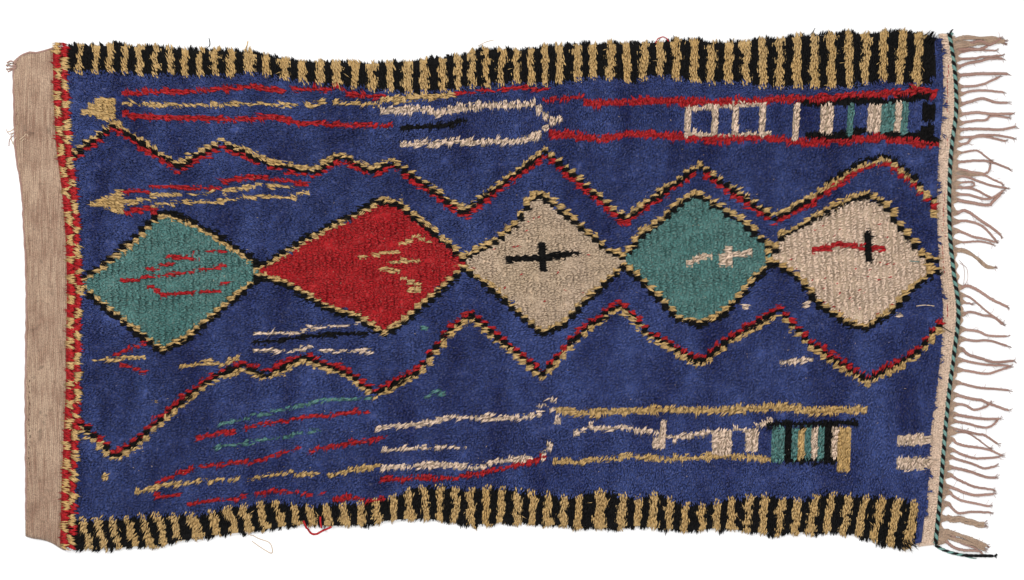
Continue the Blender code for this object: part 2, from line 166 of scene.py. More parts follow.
# Lines of knots: colour, thickness, and the places that they run through
LINES = (
    # Marks in the diamonds
    (RED, 2.6, (124, 280, 180, 274, 224, 266)), (RED, 2.6, (149, 270, 171, 264)),
    (RED, 2.6, (171, 257, 194, 258)), (RED, 2.6, (195, 254, 224, 252)),
    (RED, 2.6, (149, 285, 166, 296, 202, 291, 217, 291)),
    (GOLD, 3, (362, 257, 378, 255)), (GOLD, 3, (384, 253, 398, 252)),
    (GOLD, 3, (399, 246, 419, 236, 427, 242)), (GOLD, 3, (387, 262, 420, 262)),
    (GOLD, 3, (385, 269, 396, 271)), (GOLD, 3, (404, 279, 420, 284)),
    (BLACK, 7, (507, 260, 540, 258, 577, 253)), (IVORY, 6, (690, 264, 700, 258, 710, 255)),
    (IVORY, 6, (721, 256, 748, 253)),
    (RED, 6, (812, 251, 837, 245, 882, 249)),
    # Far side of the field
    (RED, 5.5, (124, 93, 184, 92, 256, 87, 285, 92)), (RED, 5, (292, 89, 329, 90)),
    (RED, 4, (330, 82, 348, 94, 385, 98)),
    (RED, 4, (457, 94, 520, 88, 549, 91)), (RED, 4, (548, 100, 579, 98)),
    (RED, 8, (586, 104, 654, 101, 715, 103, 831, 98, 911, 92, 933, 94)),
    (BLACK, 7, (805, 103, 828, 105, 851, 101, 887, 102, 924, 97)),
    (GOLD, 3.4, (128, 103, 134, 105, 200, 106, 245, 104, 294, 106)), (GOLD, 4, (311, 106, 323, 103)),
    (GOLD, 4, (333, 103, 380, 105)), (GOLD, 8, (385, 100, 419, 98, 452, 95)),
    (IVORY, 7, (382, 112, 419, 109, 437, 114, 477, 106, 535, 105)),
    (IVORY, 4, (536, 107, 548, 119, 562, 119)), (BLACK, 6, (402, 128, 445, 126, 464, 121)),
    (IVORY, 7, (406, 145, 446, 143, 522, 141, 538, 136)), (IVORY, 4, (539, 134, 550, 124)),
    (RED, 5.5, (123, 111, 133, 117, 226, 120, 282, 118, 294, 123, 355, 126, 393, 125)),
    (RED, 8, (549, 134, 599, 139, 636, 134, 715, 140, 766, 138, 799, 143, 882, 138, 933, 145)),
    (BLACK, 7, (805, 135, 844, 136, 859, 131, 899, 133, 933, 141)),
    (IVORY, 5, (688, 110, 714, 107, 740, 105, 766, 105)), (IVORY, 5, (688, 135, 770, 134)),
    # Arrow and small lines on the left
    (RED, 4, (122, 195, 128, 191, 149, 193)), (RED, 4, (126, 212, 152, 209, 157, 214)),
    (RED, 4, (151, 186, 178, 188, 217, 189)), (RED, 4, (223, 182, 256, 177, 304, 184)),
    (GOLD, 6, (121, 202, 151, 200)), (GOLD, 3, (152, 195, 212, 193)),
    (GOLD, 3, (223, 192, 259, 185, 281, 188, 296, 189)), (GOLD, 3, (152, 207, 182, 202, 212, 203)),
    (GOLD, 3, (219, 202, 262, 196, 291, 198, 304, 193)),
    # Near side of the field, left
    (GOLD, 3, (99, 359, 147, 357)), (RED, 3, (119, 354, 144, 344)), (RED, 3, (122, 363, 144, 372)),
    (GOLD, 3.6, (185, 366, 205, 362, 226, 364, 235, 358)),
    (IVORY, 3.4, (255, 334, 291, 333, 316, 328, 355, 324)), (BLACK, 4, (254, 343, 329, 335, 368, 334)),
    (IVORY, 3.4, (254, 350, 291, 352, 310, 346)), (IVORY, 3.4, (324, 351, 368, 351)),
    (TEAL, 3, (221, 425, 263, 414, 323, 400, 369, 398)),
    (RED, 3, (200, 437, 259, 425, 304, 417, 369, 411)),
    (TEAL, 3, (222, 447, 259, 440, 320, 431)),
    (RED, 3, (159, 482, 200, 466, 257, 461, 297, 447)), (RED, 3, (309, 451, 355, 442, 387, 438)),
    (GOLD, 3.6, (136, 493, 161, 485, 199, 482, 241, 478)), (GOLD, 3, (248, 479, 294, 471)),
    (GOLD, 3, (297, 474, 320, 473)), (GOLD, 3.6, (329, 475, 348, 470, 382, 466)),
    (RED, 3, (157, 494, 168, 497, 179, 494)), (RED, 3, (191, 503, 239, 497, 276, 491, 323, 494)),
    (RED, 5, (334, 500, 352, 496, 369, 502, 385, 497)),
    # Near side of the field, middle and right
    (IVORY, 5, (380, 427, 419, 424, 451, 417, 509, 418, 540, 414)),
    (IVORY, 4, (384, 450, 406, 448, 465, 447)),
    (IVORY, 5, (384, 468, 439, 464, 475, 468, 496, 460, 542, 458)),
    (RED, 4, (383, 479, 421, 477, 450, 479, 497, 469, 535, 461, 545, 454)),
    (IVORY, 3.4, (545, 453, 552, 441, 554, 432, 556, 419)),
    (GOLD, 8, (559, 409, 579, 413, 655, 410, 728, 410, 779, 406, 812, 411, 864, 409)),
    (IVORY, 5, (574, 433, 591, 427, 626, 428, 655, 433)), (IVORY, 6, (671, 437, 692, 436, 710, 431)),
    (IVORY, 4, (729, 430, 739, 429)), (IVORY, 4, (758, 426, 770, 420)),
    (GOLD, 5, (554, 462, 568, 461)), (GOLD, 5, (577, 462, 601, 458)),
    (GOLD, 6, (609, 459, 629, 456, 674, 459, 721, 455, 766, 459)),
    (BLACK, 6, (771, 424, 858, 423)), (BLACK, 5, (785, 461, 831, 461)),
    (IVORY, 5, (784, 363, 809, 359)), (TEAL, 3, (424, 400, 433, 393, 440, 393)),
)

# Blocks of knots: colour, left, right, top and bottom
BLOCKS = (
    (BLACK, 540, 545, 243, 272), (IVORY, 723, 728, 245, 266), (BLACK, 863.7, 867.3, 232, 272),
    (GOLD, 925, 932, 262, 271), (RED, 221, 224, 281, 285), (GOLD, 412, 418, 287, 292),
    (GOLD, 930, 939, 211, 219), (GOLD, 915, 927, 190, 194),
    (IVORY, 685, 689, 108, 136), (IVORY, 710, 716, 108, 136), (IVORY, 732, 737, 106, 136),
    (IVORY, 759.5, 764, 105, 137), (IVORY, 793, 798.5, 104, 141), (IVORY, 820, 831, 106, 133),
    (TEAL, 848, 853, 105, 135), (IVORY, 867, 879, 104, 134), (TEAL, 881, 891.5, 104, 133),
    (IVORY, 894.5, 899, 101, 133), (TEAL, 901, 906, 101, 135), (BLACK, 922, 932.5, 104, 121),
    (BLACK, 922, 932.5, 125, 140),
    (IVORY, 655, 665, 438, 448), (IVORY, 662, 667, 420, 438), (IVORY, 714, 729, 430, 454),
    (IVORY, 745, 758, 428, 452), (TEAL, 770, 785, 427, 461), (BLACK, 785, 791, 426, 461),
    (TEAL, 791, 798, 427, 459), (GOLD, 798, 804, 427, 459), (TEAL, 804, 811, 427, 459),
    (IVORY, 811, 817, 427, 459), (TEAL, 817, 825, 427, 459), (BLACK, 825, 832, 426, 461),
    (IVORY, 832, 838, 427, 459), (GOLD, 839, 850, 427, 471),
    (IVORY, 897, 928, 434, 445), (IVORY, 897, 928, 457, 469),
    (IVORY, 743, 748, 305, 309), (IVORY, 802, 807, 303, 307), (IVORY, 894, 899, 313, 317),
    (TEAL, 424, 429, 326, 330), (GOLD, 152, 157, 399, 403), (GOLD, 101, 106, 475, 479),
    (IVORY, 540, 545, 404, 408), (IVORY, 548, 553, 399, 403), (IVORY, 552, 556, 408, 412),
)

# How the pile leans, in degrees: places along on top, then rows that start with a place across
PILE_LEANS = (
    (0, 70, 300, 400, 520, 700, 940),
    (95, 28, 22, -85, -95, -90, -85),
    (160, 26, 18, -25, -40, -55, -60),
    (220, 22, 12, 5, -5, -20, -30),
    (300, 5, -8, -5, -8, -20, -30),
    (400, -25, -35, -35, -45, -60, -65),
    (470, -40, -45, -45, -60, -72, -80),
)

# Filled shapes: colour, far edge and near edge
FILLS = (
    (GOLD, (84, 111, 91, 105, 99, 99, 106, 97, 114, 98), (84, 114, 91, 116, 99, 120, 106, 122, 114, 119)),
    (GOLD, (92, 203, 108, 197, 121, 190), (92, 206, 108, 209, 121, 215)),
)

# Strands of the fringe: width in millimetres, then the places that it runs through on the chart
STRANDS = (
    (9, 953, 40, 965, 38, 980, 38, 995, 39, 1003, 43), (11, 954, 47, 968, 45, 982, 43, 994, 42, 1004, 41),
    (8, 970, 44, 980, 41, 990, 45, 1000, 38), (8, 958, 50, 968, 49, 978, 50, 987, 46),
    (5, 957, 53, 969, 51, 981, 50, 996, 51), (6, 958, 59, 974, 59, 982, 57, 1001, 56),
    (7, 958, 67, 967, 64, 980, 61, 988, 59, 1002, 59), (8, 959, 76, 977, 74, 989, 74, 1007, 74),
    (6, 960, 87, 974, 86, 985, 84, 991, 81, 999, 77), (6, 961, 94, 972, 91, 987, 91, 1003, 92),
    (7, 961, 104, 972, 101, 983, 99, 994, 102, 1007, 103),
    (7, 961, 114, 977, 113, 989, 114, 1012, 114), (6, 961, 123, 976, 121, 986, 120, 991, 116, 1008, 118),
    (7, 960, 130, 982, 129, 1001, 130, 1015, 127), (6, 960, 138, 972, 137, 981, 135, 998, 136, 1013, 138),
    (6, 959, 145, 967, 143, 972, 138, 984, 137, 1005, 141), (5, 958, 153, 976, 151, 986, 157, 990, 160),
    (6, 957, 162, 976, 161, 991, 162, 1009, 169), (6, 957, 169, 980, 174, 988, 172, 990, 166),
    (5, 980, 174, 988, 177, 1002, 184), (6, 957, 177, 966, 177, 978, 181, 991, 186, 1006, 188),
    (5, 957, 183, 971, 182, 974, 185, 971, 187, 963, 187), (6, 957, 187, 968, 188, 977, 191, 992, 198),
    (6, 957, 194, 968, 195, 982, 199, 991, 198, 1003, 191),
    (8, 957, 200, 970, 203, 988, 205, 992, 202, 1000, 195),
    (7, 957, 213, 965, 211, 977, 218, 990, 227, 1000, 235),
    (6, 957, 222, 966, 221, 978, 224, 986, 230, 995, 240),
    (6, 957, 231, 964, 233, 974, 237, 987, 240, 995, 242), (5, 957, 242, 982, 242, 992, 244),
    (9, 957, 250, 965, 251, 976, 258, 986, 266, 994, 268),
    (7, 961, 287, 968, 286, 980, 292, 991, 299, 1007, 307),
    (5, 962, 295, 970, 298, 985, 310, 1002, 323), (5, 962, 302, 971, 304),
    (6, 963, 314, 972, 312, 982, 315, 994, 318, 1002, 324),
    (6, 963, 330, 972, 330, 980, 332, 988, 336, 1006, 336),
    (6, 963, 339, 977, 341, 991, 341, 1007, 346), (7, 962, 349, 969, 355, 982, 359, 993, 362, 1013, 361),
    (6, 961, 360, 980, 364, 1009, 366), (6, 960, 370, 980, 373, 991, 373, 1009, 367),
    (6, 958, 383, 976, 387, 991, 389, 1008, 390), (7, 956, 395, 968, 398, 980, 400, 989, 404, 1008, 410),
    (6, 955, 404, 965, 405, 974, 410, 986, 406, 990, 403), (7, 955, 414, 974, 418, 999, 419),
    (6, 954, 421, 982, 427, 991, 426, 997, 421), (6, 953, 429, 978, 434, 984, 435, 997, 444),
    (4, 953, 433, 968, 433, 982, 443, 990, 448), (6, 952, 440, 958, 444, 974, 447, 989, 450, 1001, 455),
    (6, 952, 450, 972, 458, 984, 458, 998, 457), (6, 951, 457, 972, 464, 984, 468, 996, 466),
    (7, 951, 467, 974, 473, 986, 477, 995, 478), (6, 950, 475, 958, 480, 970, 485, 981, 488, 993, 490),
    (7, 949, 487, 974, 495, 993, 494), (6, 949, 493, 958, 499, 972, 503, 989, 506),
    (6, 948, 504, 953, 509, 959, 513, 972, 512, 990, 512), (15, 947, 518, 962, 520, 974, 523, 984, 525),
    (11, 946, 531, 958, 535, 970, 539, 986, 546), (10, 946, 537, 956, 540, 970, 543, 984, 549),
    (7, 945, 541, 953, 547, 964, 550, 978, 551), (6, 950, 534, 962, 543, 974, 548, 982, 553),
)

# Red flecks in the band on the chart: place along, from, to
BAND_FLECKS = ((947, 65, 115), (947, 138, 148), (943, 193, 235), (943, 246, 275), (947, 303, 318))

# Fine yarns and threads on the chart: kind, width in millimetres, and their places
LOOSE_YARNS = (
    ("black", 2, (940, 326, 946, 330, 951, 333)), ("ivory", 2.5, (915, 306, 924, 305, 933, 306)),
    ("teal", 2, (908, 261, 918, 262)),
    ("black", 2, (208, 50, 210, 44, 209, 38)), ("gold", 2.5, (245, 52, 247, 46, 248, 41)),
    ("ivory", 2, (246, 531, 258, 538, 270, 543, 272, 553, 262, 548, 252, 541)),
    ("red", 5, (304, 520, 307, 527, 311, 533, 316, 534, 322, 531, 332, 526)),
    ("red", 5, (321, 516, 321, 521, 322, 527)),
    ("red", 2.5, (655, 44, 658, 39, 664, 37, 668, 42)),
    ("ivory", 1.5, (478, 46, 486, 42, 494, 40)), ("black", 1.5, (806, 38, 812, 33, 815, 28)),
    ("weft", 2, (18, 112, 15, 118, 18, 122, 15, 128)), ("ivory", 2, (16, 127, 11, 131, 7, 132)),
    ("ivory", 2, (16, 131, 11, 136, 13, 144)), ("weft", 2, (16, 134, 10, 139, 9, 146)),
    ("ivory", 2.5, (17, 137, 14, 142, 15, 149)), ("ivory", 2.5, (20, 140, 24, 137, 27, 134, 29, 137)),
    ("ivory", 2, (22, 142, 25, 139, 29, 141)), ("weft", 1.5, (13, 133, 9, 134, 6, 129)),
    ("weft", 3.5, (17, 64, 11, 61, 7, 63)), ("weft", 3.5, (17, 66, 11, 66, 6, 65)),
    ("weft", 3.5, (17, 67, 11, 69, 6, 69)), ("weft", 3, (17, 68, 12, 70, 8, 72)),
    ("black", 1.5, (15, 63, 10, 64, 7, 67)), ("ivory", 1.5, (15, 65, 10, 63, 6, 66)),
    ("ivory", 1.5, (15, 68, 10, 68, 7, 71)),
    ("weft", 1.2, (958, 260, 962, 264, 964, 273, 963, 285)),
    ("weft", 1.2, (959, 263, 966, 268, 967, 280, 962, 287)),
)

# Corner of the plain end that its edge yarn runs round, on the chart
HEM_CORNER = (30, 52.5, 23, 55.2, 18, 59, 15, 64, 13.8, 70)

# Cord, and its loose end in millimetres
TAIL_ROUTE = (
    (1058, -637.5), (1067, -643.5), (1078, -649), (1091, -654), (1105, -658),
    (1121, -661.5), (1139, -663.5), (1160, -664), (1181, -664), (1202, -664.5),
)
TAIL_HEIGHT = 4
TAIL_DIAMETER = 0.008
TAIL_DARK_FROM = 0.62
CORD_NEAR_END = -0.6332
CORD_FAR_END = 0.640
CORD_DIAMETER = 0.0112
CORD_HEIGHT = 0.0058
CORD_PITCH = 0.0235
CORD_ASIDE = 0.22
CORD_LIFT = 0.25
CORD_PIECES = ("cord_end", "cord_end_fray", "cord_end_branch")

# Yarn ends where the cord starts: turn in degrees and length in metres
CORD_TUFT = {
    "teal": ((10, 0.010), (35, 0.008), (-15, 0.007)),
    "black": ((52, 0.016), (60, 0.012), (150, 0.006), (170, 0.005)),
}

# Places and reaches on the chart
BORDER_END = 932
BORDER_BLEND = 13.0
CHECK_ROWS = 2
PALE_FROM = 770
BLUE_SPLITS = (345, 620)
LINE_END_REACH = 3
BLOCK_REACH = 1.2
OUTLINE_BANDS = ((4.2, 9.4, False), (-0.5, 4.2, True))
ZIGZAG_STEP = 3.9
ZIGZAG_THICKNESS = {RED: 2.6, BLACK: 3.2, GOLD: 3.2}
STRIPE_ENDS_AT = 928

# How far locks of each colour lie from their knot's row, in metres
LOOSE_REACH = (0.0080, 0.0080, 0.0080, 0.0052, 0.0040, 0.0062)
PALE_LOOSE_REACH = 0.0050

# How each wool looks: contrast of locks, contrast of patches, painted shade at the roots, share of flecks
WOOL_LOOKS = {
    "blue": (0.5, 1.0, 0.62, 0.26), "gold": (0.35, 0.5, 0.66, 0.2), "black": (0.5, 0.3, 0.5, 0.03),
    "red": (0.45, 0.45, 0.62, 0.22), "teal": (0.7, 0.5, 0.5, 0.45), "ivory": (0.35, 0.5, 0.6, 0.0),
    "pale": (0.4, 0.5, 0.65, 0.0), "cord": (0.4, 0.5, 0.5, 0.5), "fringe": (0.4, 0.5, 0.5, 0.0),
}

# Ribs and patches of the two weaves: scale of the ribs, contrast of the patches
PLAIN_WEAVE = ("plain weave", 63.0, 0.85)
STRIP_WEAVE = ("strip weave", 110.0, 0.3)

# First guess of the rug's width, and how often a place between its edges is worked out again
FIRST_WIDTH = 1.25
PLACING_ROUNDS = 4

# Lowest places of locks and yarns, and how much an upright look leans in their map
LOCK_CLEARANCE = 0.0003
YARN_CLEARANCE = 0.0002
LOCK_FLATNESS = 0.8
MAP_LEAN = (0.31, 0.17)

# Woven pieces in metres: how high their top lies, and how thick they are
CLOTH_TOP = 0.0106
CLOTH_THICKNESS = 0.0090
CLOTH_INSET = 0.011
CLOTH_ROWS = 134
WEFT_TOP = 0.0052
WEFT_THICKNESS = 0.0016
BAND_TOP = 0.0052
BAND_THICKNESS = 0.0045
STRIP_TOP = 0.0044
STRIP_THICKNESS = 0.0026

# Yarn along the edge of the plain end
HEM_HEIGHT = 0.0042
HEM_HALF_WIDTH = 0.0026

# Red and gold check: blocks in a column, where its first column starts, and locks in metres
CHECK_BLOCKS = 52
CHECK_START = 0.0105
CHECK_PITCH = 0.0185
CHECK_KNOT_PITCH = 0.0056
CHECK_LOCK_LENGTH = 0.026

# Striped sides: pitch of their locks along and across, on the chart, and how far gold stands out
SIDE_PITCH = 1.5
SIDE_DEPTH_PITCH = 2.8
SIDE_RIM = 3.4
GOLD_RISE = 0.0016

# Band: its ends across the rug, and its locks in metres
BAND_NEAR_END = -0.636
BAND_LENGTH = 1.276
BAND_LOCK_LENGTH = 0.0125
BAND_LOCK_HEIGHT = 0.0074
BAND_LOCK_HALF_WIDTH = 0.0021

# How high loose yarns and stitches lie
YARN_ON_PILE = 0.0165
YARN_ON_WEAVE = 0.0065
YARN_ON_FLOOR = 0.002
YARN_PAST_WEFT = 0.0015
STITCH_HEIGHT = 0.0066

# Small things that lie here and there
STRAY_FIBRES = 170
STRAY_FIBRE_HEIGHT = 0.0182
STRAY_SIDE_LOCKS = 34
CORNER_LOCKS = 26
BAND_ROWS = 5
BAND_KNOTS = 330
FLECK_HEIGHT = 0.0076
TAIL_HAIRS = 9
TAIL_BRANCHES = 3
TIP_FIBRES = 7
ROOT_YARNS = 7
FRINGE_HAIRS = 240

# Widest bundle of a strand in millimetres, and how much wider its strands are than charted
BUNDLE_WIDTH = 5.5
STRAND_SPREAD = 1.3
STRAND_PITCH = 0.0095

# Studio: name of each light, its place, size and power, and how high the camera hangs
LIGHTS = (
    ("Soft Key Light", (-2.6, 2.8, 4.2), 2.6, 190.0),
    ("Soft Fill Light", (2.6, -1.5, 4.6), 3.6, 95.0),
    ("Soft Top Light", (0.0, 0.0, 6.0), 5.0, 150.0),
)
FLOOR_SIZE = 30.0
WORLD_LIGHT = 0.45
CAMERA_HEIGHT = 5.2
SENSOR_WIDTH = 36.0
CHART_WIDTH = 1024


def linear(code):
    """The colour that a hex code names, in the linear values that shaders take."""
    parts = [int(code[i:i + 2], 16) / 255 for i in (0, 2, 4)]
    return [p / 12.92 if p <= 0.04045 else ((p + 0.055) / 1.055) ** 2.4 for p in parts]


def line_through(places, values, unit):
    """A smooth line through places and values, which takes and returns arrays in metres."""
    places = np.array(places) * unit
    values = np.array(values) * unit
    slopes = np.gradient(values, places)

    def at(place):
        place = np.clip(place, places[0], places[-1])
        i = np.clip(np.searchsorted(places, place, side="right") - 1, 0, len(places) - 2)
        step = places[i + 1] - places[i]
        t = (place - places[i]) / step
        return (
            values[i] * (1 + 2 * t) * (1 - t) ** 2
            + values[i + 1] * t * t * (3 - 2 * t)
            + slopes[i] * step * t * (1 - t) ** 2
            - slopes[i + 1] * step * t * t * (1 - t)
        )

    return at


edge_places, *edge_lines = zip(*EDGE_SECTIONS)
near_edge, far_edge = (line_through(edge_places, line, MM) for line in edge_lines)
end_places, *end_lines = zip(*END_SECTIONS)
weft_edge, pile_start, band_start, cord_line, strip_edge = (
    line_through(end_places, line, MM) for line in end_lines
)


def chart_x(x):
    """Place along the chart of a place along the floor."""
    return CHART_MIDDLE_X + x / CHART_SQUARE


def chart_y(y):
    """Place down the chart of a place across the floor."""
    return CHART_MIDDLE_Y - y / CHART_SQUARE


def floor_x(x):
    """Place along the floor of a place along the chart."""
    return (x - CHART_MIDDLE_X) * CHART_SQUARE


def floor_y(y):
    """Place across the floor of a place down the chart."""
    return (CHART_MIDDLE_Y - y) * CHART_SQUARE


def from_chart(places):
    """Pairs of chart numbers as an array of places on the floor, in metres."""
    pairs = np.array(places, float).reshape(-1, 2)
    return np.column_stack((floor_x(pairs[:, 0]), floor_y(pairs[:, 1])))


def smooth_path(corners, steps):
    """A smooth path through corners, with so many points between two of them."""
    corners = np.array(corners, float)
    ends = np.vstack((2 * corners[0] - corners[1], corners, 2 * corners[-1] - corners[-2]))
    t = np.arange(steps)[:, None] / steps
    points = []
    for i in range(len(corners) - 1):
        a, b, c, d = ends[i:i + 4]
        points.append(0.5 * (
            2 * b + (c - a) * t + (2 * a - 5 * b + 4 * c - d) * t ** 2
            + (3 * b - a - 3 * c + d) * t ** 3
        ))
    points.append(corners[-1:])
    return np.vstack(points)


def path_lengths(points):
    """How far along a path each of its points lies."""
    return np.r_[0, np.cumsum(np.linalg.norm(np.diff(points, axis=0), axis=1))]


def even_path(points, step):
    """Points set out evenly along a path."""
    lengths = path_lengths(points)
    count = max(int(round(lengths[-1] / step)), 2)
    at = np.linspace(0, lengths[-1], count + 1)
    return np.stack([np.interp(at, lengths, points[:, k]) for k in range(points.shape[1])], 1)


def at_height(flat, height):
    """A path on the floor, raised to a height."""
    return np.column_stack((flat, np.broadcast_to(height, len(flat))))


def soft_noise(x, y, size, seed):
    """A smooth random field between about -1 and 1, over places in metres."""
    rng = np.random.default_rng(seed)
    waves = 14
    angles = rng.uniform(0, math.tau, waves)
    turns = rng.uniform(0.5, 1.6, waves) * math.tau / size
    starts = rng.uniform(0, math.tau, waves)
    total = np.zeros(np.broadcast(x, y).shape)
    for angle, turn, start in zip(angles, turns, starts):
        total += np.sin((x * math.cos(angle) + y * math.sin(angle)) * turn + start)
    return total / math.sqrt(waves / 2) / 1.6


class Skein:
    """Gathers locks and yarns of one wool, and makes them one mesh."""

    def __init__(self):
        self.points, self.corners, self.sizes = [], [], []
        self.tones, self.depths = [], []
        self.count = 0

    def add(self, points, corners, sizes, tones, depths):
        self.points.append(points.reshape(-1, 3))
        self.corners.append(corners.reshape(-1) + self.count)
        self.sizes.append(sizes)
        self.tones.append(tones.reshape(-1))
        self.depths.append(depths.reshape(-1))
        self.count += len(self.points[-1])

    def spindles(self, root, middle, tip, half, tones):
        """Fine locks, each with a pointed root, a three-sided middle and a pointed tip."""
        count = len(root)
        run = tip[:, :2] - root[:, :2]
        run /= np.maximum(np.linalg.norm(run, axis=1, keepdims=True), 1e-6)
        points = np.empty((count, 5, 3))
        points[:, 0] = root
        for k, degrees in enumerate((90, 210, 330)):
            across = (half * math.cos(math.radians(degrees)))[:, None]
            points[:, 1 + k] = middle
            points[:, 1 + k, :2] += np.stack((-run[:, 1], run[:, 0]), 1) * across
            points[:, 1 + k, 2] += half * math.sin(math.radians(degrees)) * LOCK_FLATNESS
        points[:, 4] = tip
        points[:, :, 2] = np.maximum(points[:, :, 2], LOCK_CLEARANCE)
        shape = np.array((0, 2, 1, 0, 3, 2, 0, 1, 3, 1, 2, 4, 2, 3, 4, 3, 1, 4))
        corners = shape[None] + 5 * np.arange(count)[:, None]
        # Depths set the painted shade: darkest at the root, a little on the lower sides of the middle,
        # none on its top or at the tip
        depths = np.tile((0.0, 0.9, 0.75, 0.75, 1.0), (count, 1))
        self.add(points, corners, np.full(count * 6, 3), np.repeat(tones, 5), depths)

    def yarn(self, path, half, sides=5, tone=0.5, depth=0.8):
        """A round yarn along a path, closed at both ends."""
        path = np.array(path, float)
        count = len(path)
        half = np.broadcast_to(half, count)[:, None, None]
        along = np.gradient(path, axis=0)
        along /= np.maximum(np.linalg.norm(along, axis=1, keepdims=True), 1e-9)
        side = np.cross((0, 0, 1), along)
        side /= np.maximum(np.linalg.norm(side, axis=1, keepdims=True), 1e-6)
        up = np.cross(along, side)
        turns = (np.arange(sides) * math.tau / sides)[None, :, None]
        rings = path[:, None] + half * np.cos(turns) * side[:, None]
        rings = rings + half * np.sin(turns) * up[:, None]
        rings[:, :, 2] = np.maximum(rings[:, :, 2], YARN_CLEARANCE)
        start = np.arange(count - 1)[:, None] * sides
        k = np.arange(sides)[None]
        after = (k + 1) % sides
        quads = np.stack((start + k, start + after, start + sides + after, start + sides + k), 2)
        first = np.arange(sides)[::-1]
        last = np.arange(sides) + (count - 1) * sides
        corners = np.concatenate((quads.reshape(-1), first, last))
        sizes = np.concatenate((np.full((count - 1) * sides, 4), (sides, sides)))
        self.add(rings, corners, sizes, np.full(count * sides, tone), np.full(count * sides, depth))

    def twist(self, path, half, pitch, tones, start):
        """Two plies twisted round a path."""
        for ply, tone in enumerate(tones):
            self.yarn(*ply_path(path, half, pitch, start + ply * math.pi), tone=tone)

    def make(self, name, material):
        """One mesh of all that was gathered, with its tones, depths and a map seen from above."""
        points = np.concatenate(self.points) - (RUG_MIDDLE_X, RUG_MIDDLE_Y, 0.0)
        corners = np.concatenate(self.corners).astype(np.int32)
        sizes = np.concatenate(self.sizes).astype(np.int32)
        mesh = bpy.data.meshes.new(name)
        mesh.vertices.add(len(points))
        mesh.vertices.foreach_set("co", points.astype(np.float32).ravel())
        mesh.loops.add(len(corners))
        mesh.loops.foreach_set("vertex_index", corners)
        mesh.polygons.add(len(sizes))
        mesh.polygons.foreach_set("loop_start", np.r_[0, np.cumsum(sizes)[:-1]].astype(np.int32))
        mesh.update(calc_edges=True)
        add_values(mesh, "tone", np.concatenate(self.tones))
        add_values(mesh, "depth", np.concatenate(self.depths))
        mesh.polygons.foreach_set("use_smooth", np.ones(len(sizes), bool))
        seen = points[:, :2] + points[:, 2:] * MAP_LEAN
        low = seen.min(0)
        seen = 0.002 + 0.996 * (seen - low) / (seen.max(0) - low)
        mesh.uv_layers.new(name="OFBake").data.foreach_set("uv", seen[corners].astype(np.float32).ravel())
        mesh.materials.append(material)
        piece = bpy.data.objects.new(name, mesh)
        bpy.context.collection.objects.link(piece)
        return piece


def add_values(mesh, label, values):
    """A value for each point of a mesh, which its material reads by name."""
    layer = mesh.attributes.new(label, "FLOAT", "POINT")
    layer.data.foreach_set("value", values.astype(np.float32))


def ply_path(path, half, pitch, start, aside=0.4, lift=0.4):
    """The path and half width of one of two plies round a path of that half width."""
    path = np.array(path, float)
    along = np.gradient(path, axis=0)
    along /= np.linalg.norm(along, axis=1, keepdims=True)
    side = np.cross((0, 0, 1), along)
    side /= np.linalg.norm(side, axis=1, keepdims=True)
    up = np.cross(along, side)
    turn = (start - path_lengths(path) / pitch * math.tau)[:, None]
    half = np.broadcast_to(half, len(path))
    off = aside * np.cos(turn) * side + lift * np.sin(turn) * up
    return path + half[:, None] * off, half * (1.02 - aside)


def add_node(tree, kind, inputs=(), **settings):
    """A shader node whose inputs take values, or outputs of other nodes."""
    node = tree.nodes.new(kind)
    for key, value in settings.items():
        setattr(node, key, value)
    for key, value in dict(inputs).items():
        if isinstance(value, bpy.types.NodeSocket):
            tree.links.new(value, node.inputs[key])
        else:
            node.inputs[key].default_value = value
    return node


def add_noise(tree, place, scale, detail, roughness=0.5):
    """Values of a noise texture."""
    inputs = {"Vector": place, "Scale": scale, "Detail": detail, "Roughness": roughness}
    return add_node(tree, "ShaderNodeTexNoise", inputs).outputs["Fac"]


def add_wave(tree, place, axis, scale, distortion, detail, detail_scale=1.0):
    """Values of straight waves along an axis."""
    inputs = {
        "Vector": place, "Scale": scale, "Distortion": distortion, "Detail": detail,
        "Detail Scale": detail_scale,
    }
    settings = {"wave_type": "BANDS", "bands_direction": axis}
    return add_node(tree, "ShaderNodeTexWave", inputs, **settings).outputs["Fac"]


def stretch(tree, place, scale):
    """Places scaled by three numbers."""
    inputs = {"Vector": place, "Scale": scale}
    return add_node(tree, "ShaderNodeMapping", inputs).outputs["Vector"]


def remap(tree, value, from_min, from_max, to_min=0.0, to_max=1.0):
    """A value moved from one range to another."""
    inputs = {"Value": value, "From Min": from_min, "From Max": from_max}
    inputs.update({"To Min": to_min, "To Max": to_max})
    return add_node(tree, "ShaderNodeMapRange", inputs).outputs["Result"]


def maths(tree, operation, *values, use_clamp=False):
    """One step of arithmetic with values or outputs of other nodes."""
    settings = {"operation": operation, "use_clamp": use_clamp}
    return add_node(tree, "ShaderNodeMath", enumerate(values), **settings).outputs[0]


def mix_colours(tree, share, first, second):
    """The first colour, with a share of the second one."""
    inputs = {"Factor": share, 6: first, 7: second}
    return add_node(tree, "ShaderNodeMix", inputs, data_type="RGBA").outputs[2]


def read_values(tree, label):
    """Values that a mesh holds for its points."""
    return add_node(tree, "ShaderNodeAttribute", attribute_name=label).outputs["Fac"]


